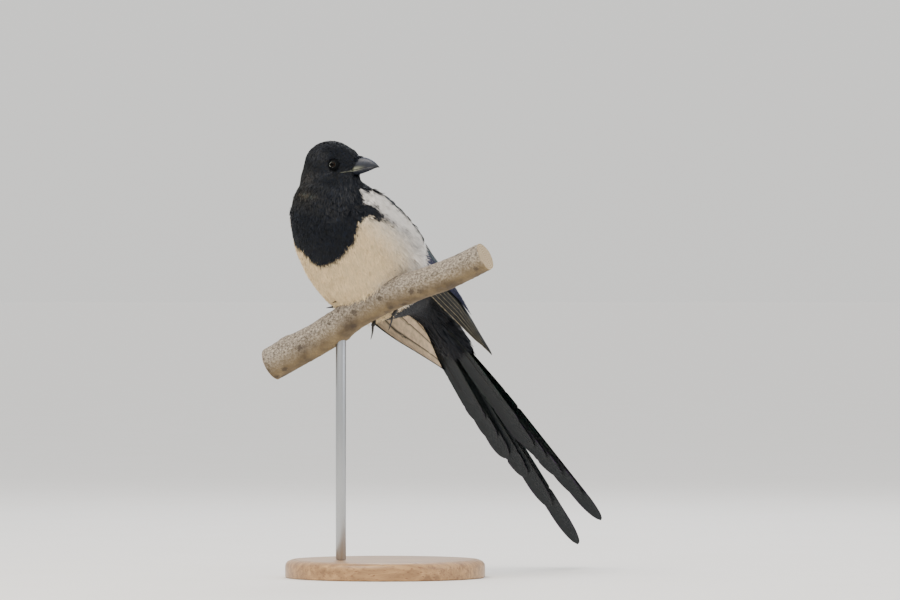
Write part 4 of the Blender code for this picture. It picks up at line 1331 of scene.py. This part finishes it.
def gape_flange(x):
    """How far the edge of the mouth stands out from the sheaths, to lie bare on the cheek."""
    flange = np.zeros(len(x))
    for i in np.flatnonzero(x < FLANGE_END):
        close = np.interp(x[i], BILL_X, BILL_CLOSE)
        start = HEAD_CENTRE + HEAD @ np.array((x[i], CHEEK_FAR, close))
        hit = skin_tree.ray_cast(Vector(start), Vector(-HEAD[:, 1]), 24)
        if hit[0] is not None:
            cheek = CHEEK_FAR - hit[3] - 0.6 + 1.3 * ease(14.5, 17, x[i])
            flange[i] = max(0, cheek - np.interp(x[i], BILL_X, BILL_HALF))
    return flange


def bill_turn(s):
    """The turn round a sheath, with most of the rows close to the mouth's line."""
    return 2 * np.pi * s - 0.45 * np.sin(4 * np.pi * s)


def bill_place(s, t, edge, lap):
    """A sheath round from one side of the mouth over edge, the ridge or the keel, and back inside."""
    x = BILL_X[0] + (BILL_X[-1] - BILL_X[0]) * t
    turn = bill_turn(s)
    stations, inverse = np.unique(np.round(x, 6), return_inverse=True)
    close, far = smooth_row(x, BILL_CLOSE) + lap, smooth_row(x, edge)
    outer = np.sin(turn) > 0
    y = np.abs(np.cos(turn)) ** np.where(outer, 0.85, 1) * smooth_row(x, BILL_HALF)
    rise = (far - close) * np.abs(np.sin(turn)) ** 0.92
    z = close + np.where(outer, rise, 0.5 * np.sin(turn) * np.sign(close - far))
    lip = np.exp(-(((z - close) / 1.2) ** 2)) * gape_flange(stations)[inverse]
    lip -= np.exp(-(((z - close) / 0.3) ** 2)) * 0.3 * ease(14.5, 24, x) * ease(BILL_X[-1], 36, x)
    y = np.sign(np.cos(turn)) * (y + lip * np.abs(np.cos(turn)) ** 0.3)
    return to_room(HEAD_CENTRE + np.stack((x, y, z), 1) @ HEAD.T)


# Horn: slate-blue to black keratin with a dull polish, finely scratched, and pale where it is thin
# along the mouth. The top of the upper sheath is bluer as a painted highlight.
horn, tree, surface = new_material(
    "bill horn", Roughness=0.38, Specular_IOR_Level=0.35, Coat_Weight=0.1, Coat_Roughness=0.25
)
coords = add_node(tree, "TexCoord").outputs["Object"]
dyed = add_node(tree, "Attribute", attribute_name="plumage")
grain = add_node(tree, "TexNoise", {"Vector": coords, "Scale": 700.0, "Detail": 5.0})
blotch = add_node(tree, "TexNoise", {"Vector": coords, "Scale": 220.0, "Detail": 3.0})
worn = add_node(
    tree, "MapRange",
    {"Value": blotch, "From Min": 0.3, "From Max": 0.7, "To Min": 0.75, "To Max": 1.3},
)
toned = add_node(tree, "VectorMath", {0: dyed, "Scale": worn}, operation="SCALE")
dull = add_node(tree, "MapRange", {"Value": grain, "To Min": 0.3, "To Max": 0.5})
scratch = add_node(tree, "Bump", {"Height": grain, "Strength": 0.25, "Distance": 0.2 * MM})
wire(surface, {"Base Color": toned, "Roughness": dull, "Normal": scratch})
HORN_DARK, HORN_BLUE, HORN_PALE = dye("#101216"), dye("#242a38"), dye("#7b7d6b")
LOWER_LENGTH = 0.93  # of the upper sheath's, which hooks over its tip

for name, edge, lap, node in (
    ("upper_bill", BILL_RIDGE, -0.15, "bill_upper"), ("lower_bill", BILL_KEEL, -0.05, "bill_lower"),
):
    share = 1 if edge is BILL_RIDGE else LOWER_LENGTH
    sheath = grid_piece(72, 80, lambda s, t: bill_place(s, t * share, edge, lap))
    s, t = last_shares(sheath)
    high = np.sin(bill_turn(s))
    lip = ease(0.3, 0.05, high) * ease(0.7, 0.35, t)
    # Painted highlight: the top of the upper sheath turns bluer from near its middle to its tip.
    back = ease(0.35, 0.6, t) * ease(0.2, 0.8, high) * (edge is BILL_RIDGE)
    colour = blend(blend(HORN_DARK, HORN_BLUE, 0.35 + 0.65 * back), HORN_PALE, 0.9 * lip)
    # Darker towards the tip, and painted shade along the mouth's line and over the hidden inner faces.
    dark_tip_and_seam_shade = np.maximum(ease(0.85, 1.0, t) * 0.7, ease(0.05, 0.02, high))
    keep_colour(sheath.data, blend(colour, HORN_DARK * 0.4, dark_tip_and_seam_shade))
    close_up(sheath)
    set_down(sheath, name, horn, "bill_horn", node)

# The bristles spring from the forehead and the edge of the gape, and their tips end in a slant from
# the ridge of the bill back to its edge.
BRISTLES = 2400
BRISTLE_TURN = (math.radians(30), math.radians(150))
BRISTLE_THICK = (0.17, 0.18, 0.15, 0.1, 0.03)
FOREHEAD_NEAR = 14

count = BRISTLES
turn = rng.uniform(*BRISTLE_TURN, count)
tips = 17 + 12 * np.clip(np.sin(turn), 0, 1) ** 0.8 + rng.normal(0, 0.9, count)
lengths = 8 + rng.normal(0, 1.0, count)
stray = rng.normal(0, 0.1, count)
rise = rng.uniform(0.1, 1.4, count)
stations = []
for i in range(STATIONS):
    v = i / (STATIONS - 1)
    x = tips - lengths * (1 - v)
    swing = turn + stray * v
    half, close, ridge = (smooth_row(x, row) for row in (BILL_HALF, BILL_CLOSE, BILL_RIDGE))
    spot = np.stack((x, half * np.cos(swing), close + (ridge - close) * np.sin(swing)), 1)
    core = np.stack((x, 0 * x, close + 1.5), 1)
    way = unit(spot - core)
    reach = np.linalg.norm(spot - core, axis=1)
    for k in range(count):
        hit = skin_tree.ray_cast(Vector(HEAD_CENTRE + HEAD @ core[k]), Vector(HEAD @ way[k]))
        if hit[0] is not None and hit[3] < FOREHEAD_NEAR:
            reach[k] = max(reach[k], hit[3])
    arch = (0.3 + 0.4 * np.clip(np.sin(turn), 0, 1)) * math.sin(math.pi * min(v + 0.1, 0.8))
    out = reach + 0.1 + arch * rise
    stations.append((core + way * out[:, None], way))
lines = np.array([spot for spot, way in stations])
along_line = unit(np.gradient(lines, axis=0))
sides = unit(np.cross(np.array([way for spot, way in stations]), along_line))
thick = np.array(BRISTLE_THICK)[:, None, None]
edges = np.stack((lines - sides * thick, lines + sides * thick), 2)
places = HEAD_CENTRE + np.moveaxis(edges, 0, 1) @ HEAD.T
colour = BLACK * rng.uniform(0.8, 2.2, count)[:, None]
spots = unwrap(nearest_skin(places[:, 0, 0])[0])
shares = np.stack(np.meshgrid(np.linspace(-0.5, 0.5, STATIONS), (-0.1, 0.1), indexing="ij")[::-1], -1)
bake = spots[:, None, None] + BAKE_PATCH * shares
bristles = strips("nasal_bristles", places, np.tile(colour[:, None, None], (1, STATIONS, 2, 1)), bake)
set_down(bristles, "nasal_bristles", barb, "black_plumage")

# ---------------------------------------------------------------------------------------------
# The feet: black toes and shanks in horny scales, gripping the branch, and curved black claws. Each
# foot is one skin over its toes and shank, and the claws are set into the ends of the toes.

# Toe skin: black horny plates, with painted shade in the groove round each.
scaly, tree, surface = new_material("scaled toe skin", Roughness=0.5)
coords = add_node(tree, "TexCoord").outputs["Object"]
scutes = add_node(
    tree, "TexVoronoi", {"Vector": coords, "Scale": 520.0}, feature="DISTANCE_TO_EDGE"
)
groove = add_node(tree, "MapRange", {"Value": scutes, "From Max": 0.16})
mottle = add_node(tree, "TexNoise", {"Vector": coords, "Scale": 400.0, "Detail": 4.0})
hue = add_node(tree, "ValToRGB", {"Fac": mottle}, [(0.3, "#131314"), (0.72, "#2b2a29")])
shadowed = add_node(tree, "MixRGB", {"Fac": groove, "Color1": linear("#080808"), "Color2": hue})
plated = add_node(tree, "Bump", {"Height": groove, "Strength": 0.7, "Distance": 0.3 * MM})
wire(surface, {"Base Color": shadowed, "Normal": plated})

# Claw horn: smoother and glossier than the toes, and a little brown where it is worn.
claw_horn, tree, surface = new_material("claw horn", Roughness=0.32)
coords = add_node(tree, "TexCoord").outputs["Object"]
streak = add_node(tree, "TexNoise", {"Vector": coords, "Scale": 900.0, "Detail": 4.0})
hue = add_node(tree, "ValToRGB", {"Fac": streak}, [(0.3, "#0e0d0d"), (0.75, "#2e2926")])
lined = add_node(tree, "Bump", {"Height": streak, "Strength": 0.2, "Distance": 0.1 * MM})
wire(surface, {"Base Color": hue, "Normal": lined})

TOES = ("inner", "middle", "outer", "hind")
FOOT_VOXEL = 0.5 * MM
for side_name in ("left", "right"):
    for kind, material, slot, bone in (
        ("foot", scaly, "leg_scales", "toe"), ("claws", claw_horn, "claw_horn", "claw"),
    ):
        nodes = [f"{bone}_{toe}_{side_name}" for toe in TOES]
        if kind == "foot":
            nodes.append("tarsus_" + side_name)
        limb = gather([copy_node(node) for node in nodes])
        bpy.ops.object.mode_set(mode="EDIT")
        bpy.ops.mesh.select_all(action="SELECT")
        bpy.ops.mesh.remove_doubles(threshold=MERGE_WITHIN)
        bpy.ops.object.mode_set(mode="OBJECT")
        if kind == "foot":
            melt(limb, FOOT_VOXEL)
            iron = limb.modifiers.new("even out", "SMOOTH")
            iron.iterations = 3
        else:
            rounded = limb.modifiers.new("rounded", "SUBSURF")
            rounded.levels = rounded.render_levels = 2
        apply_modifiers(limb)
        bpy.ops.object.shade_smooth()
        set_down(limb, f"{kind}_{side_name}", material, slot, *nodes)
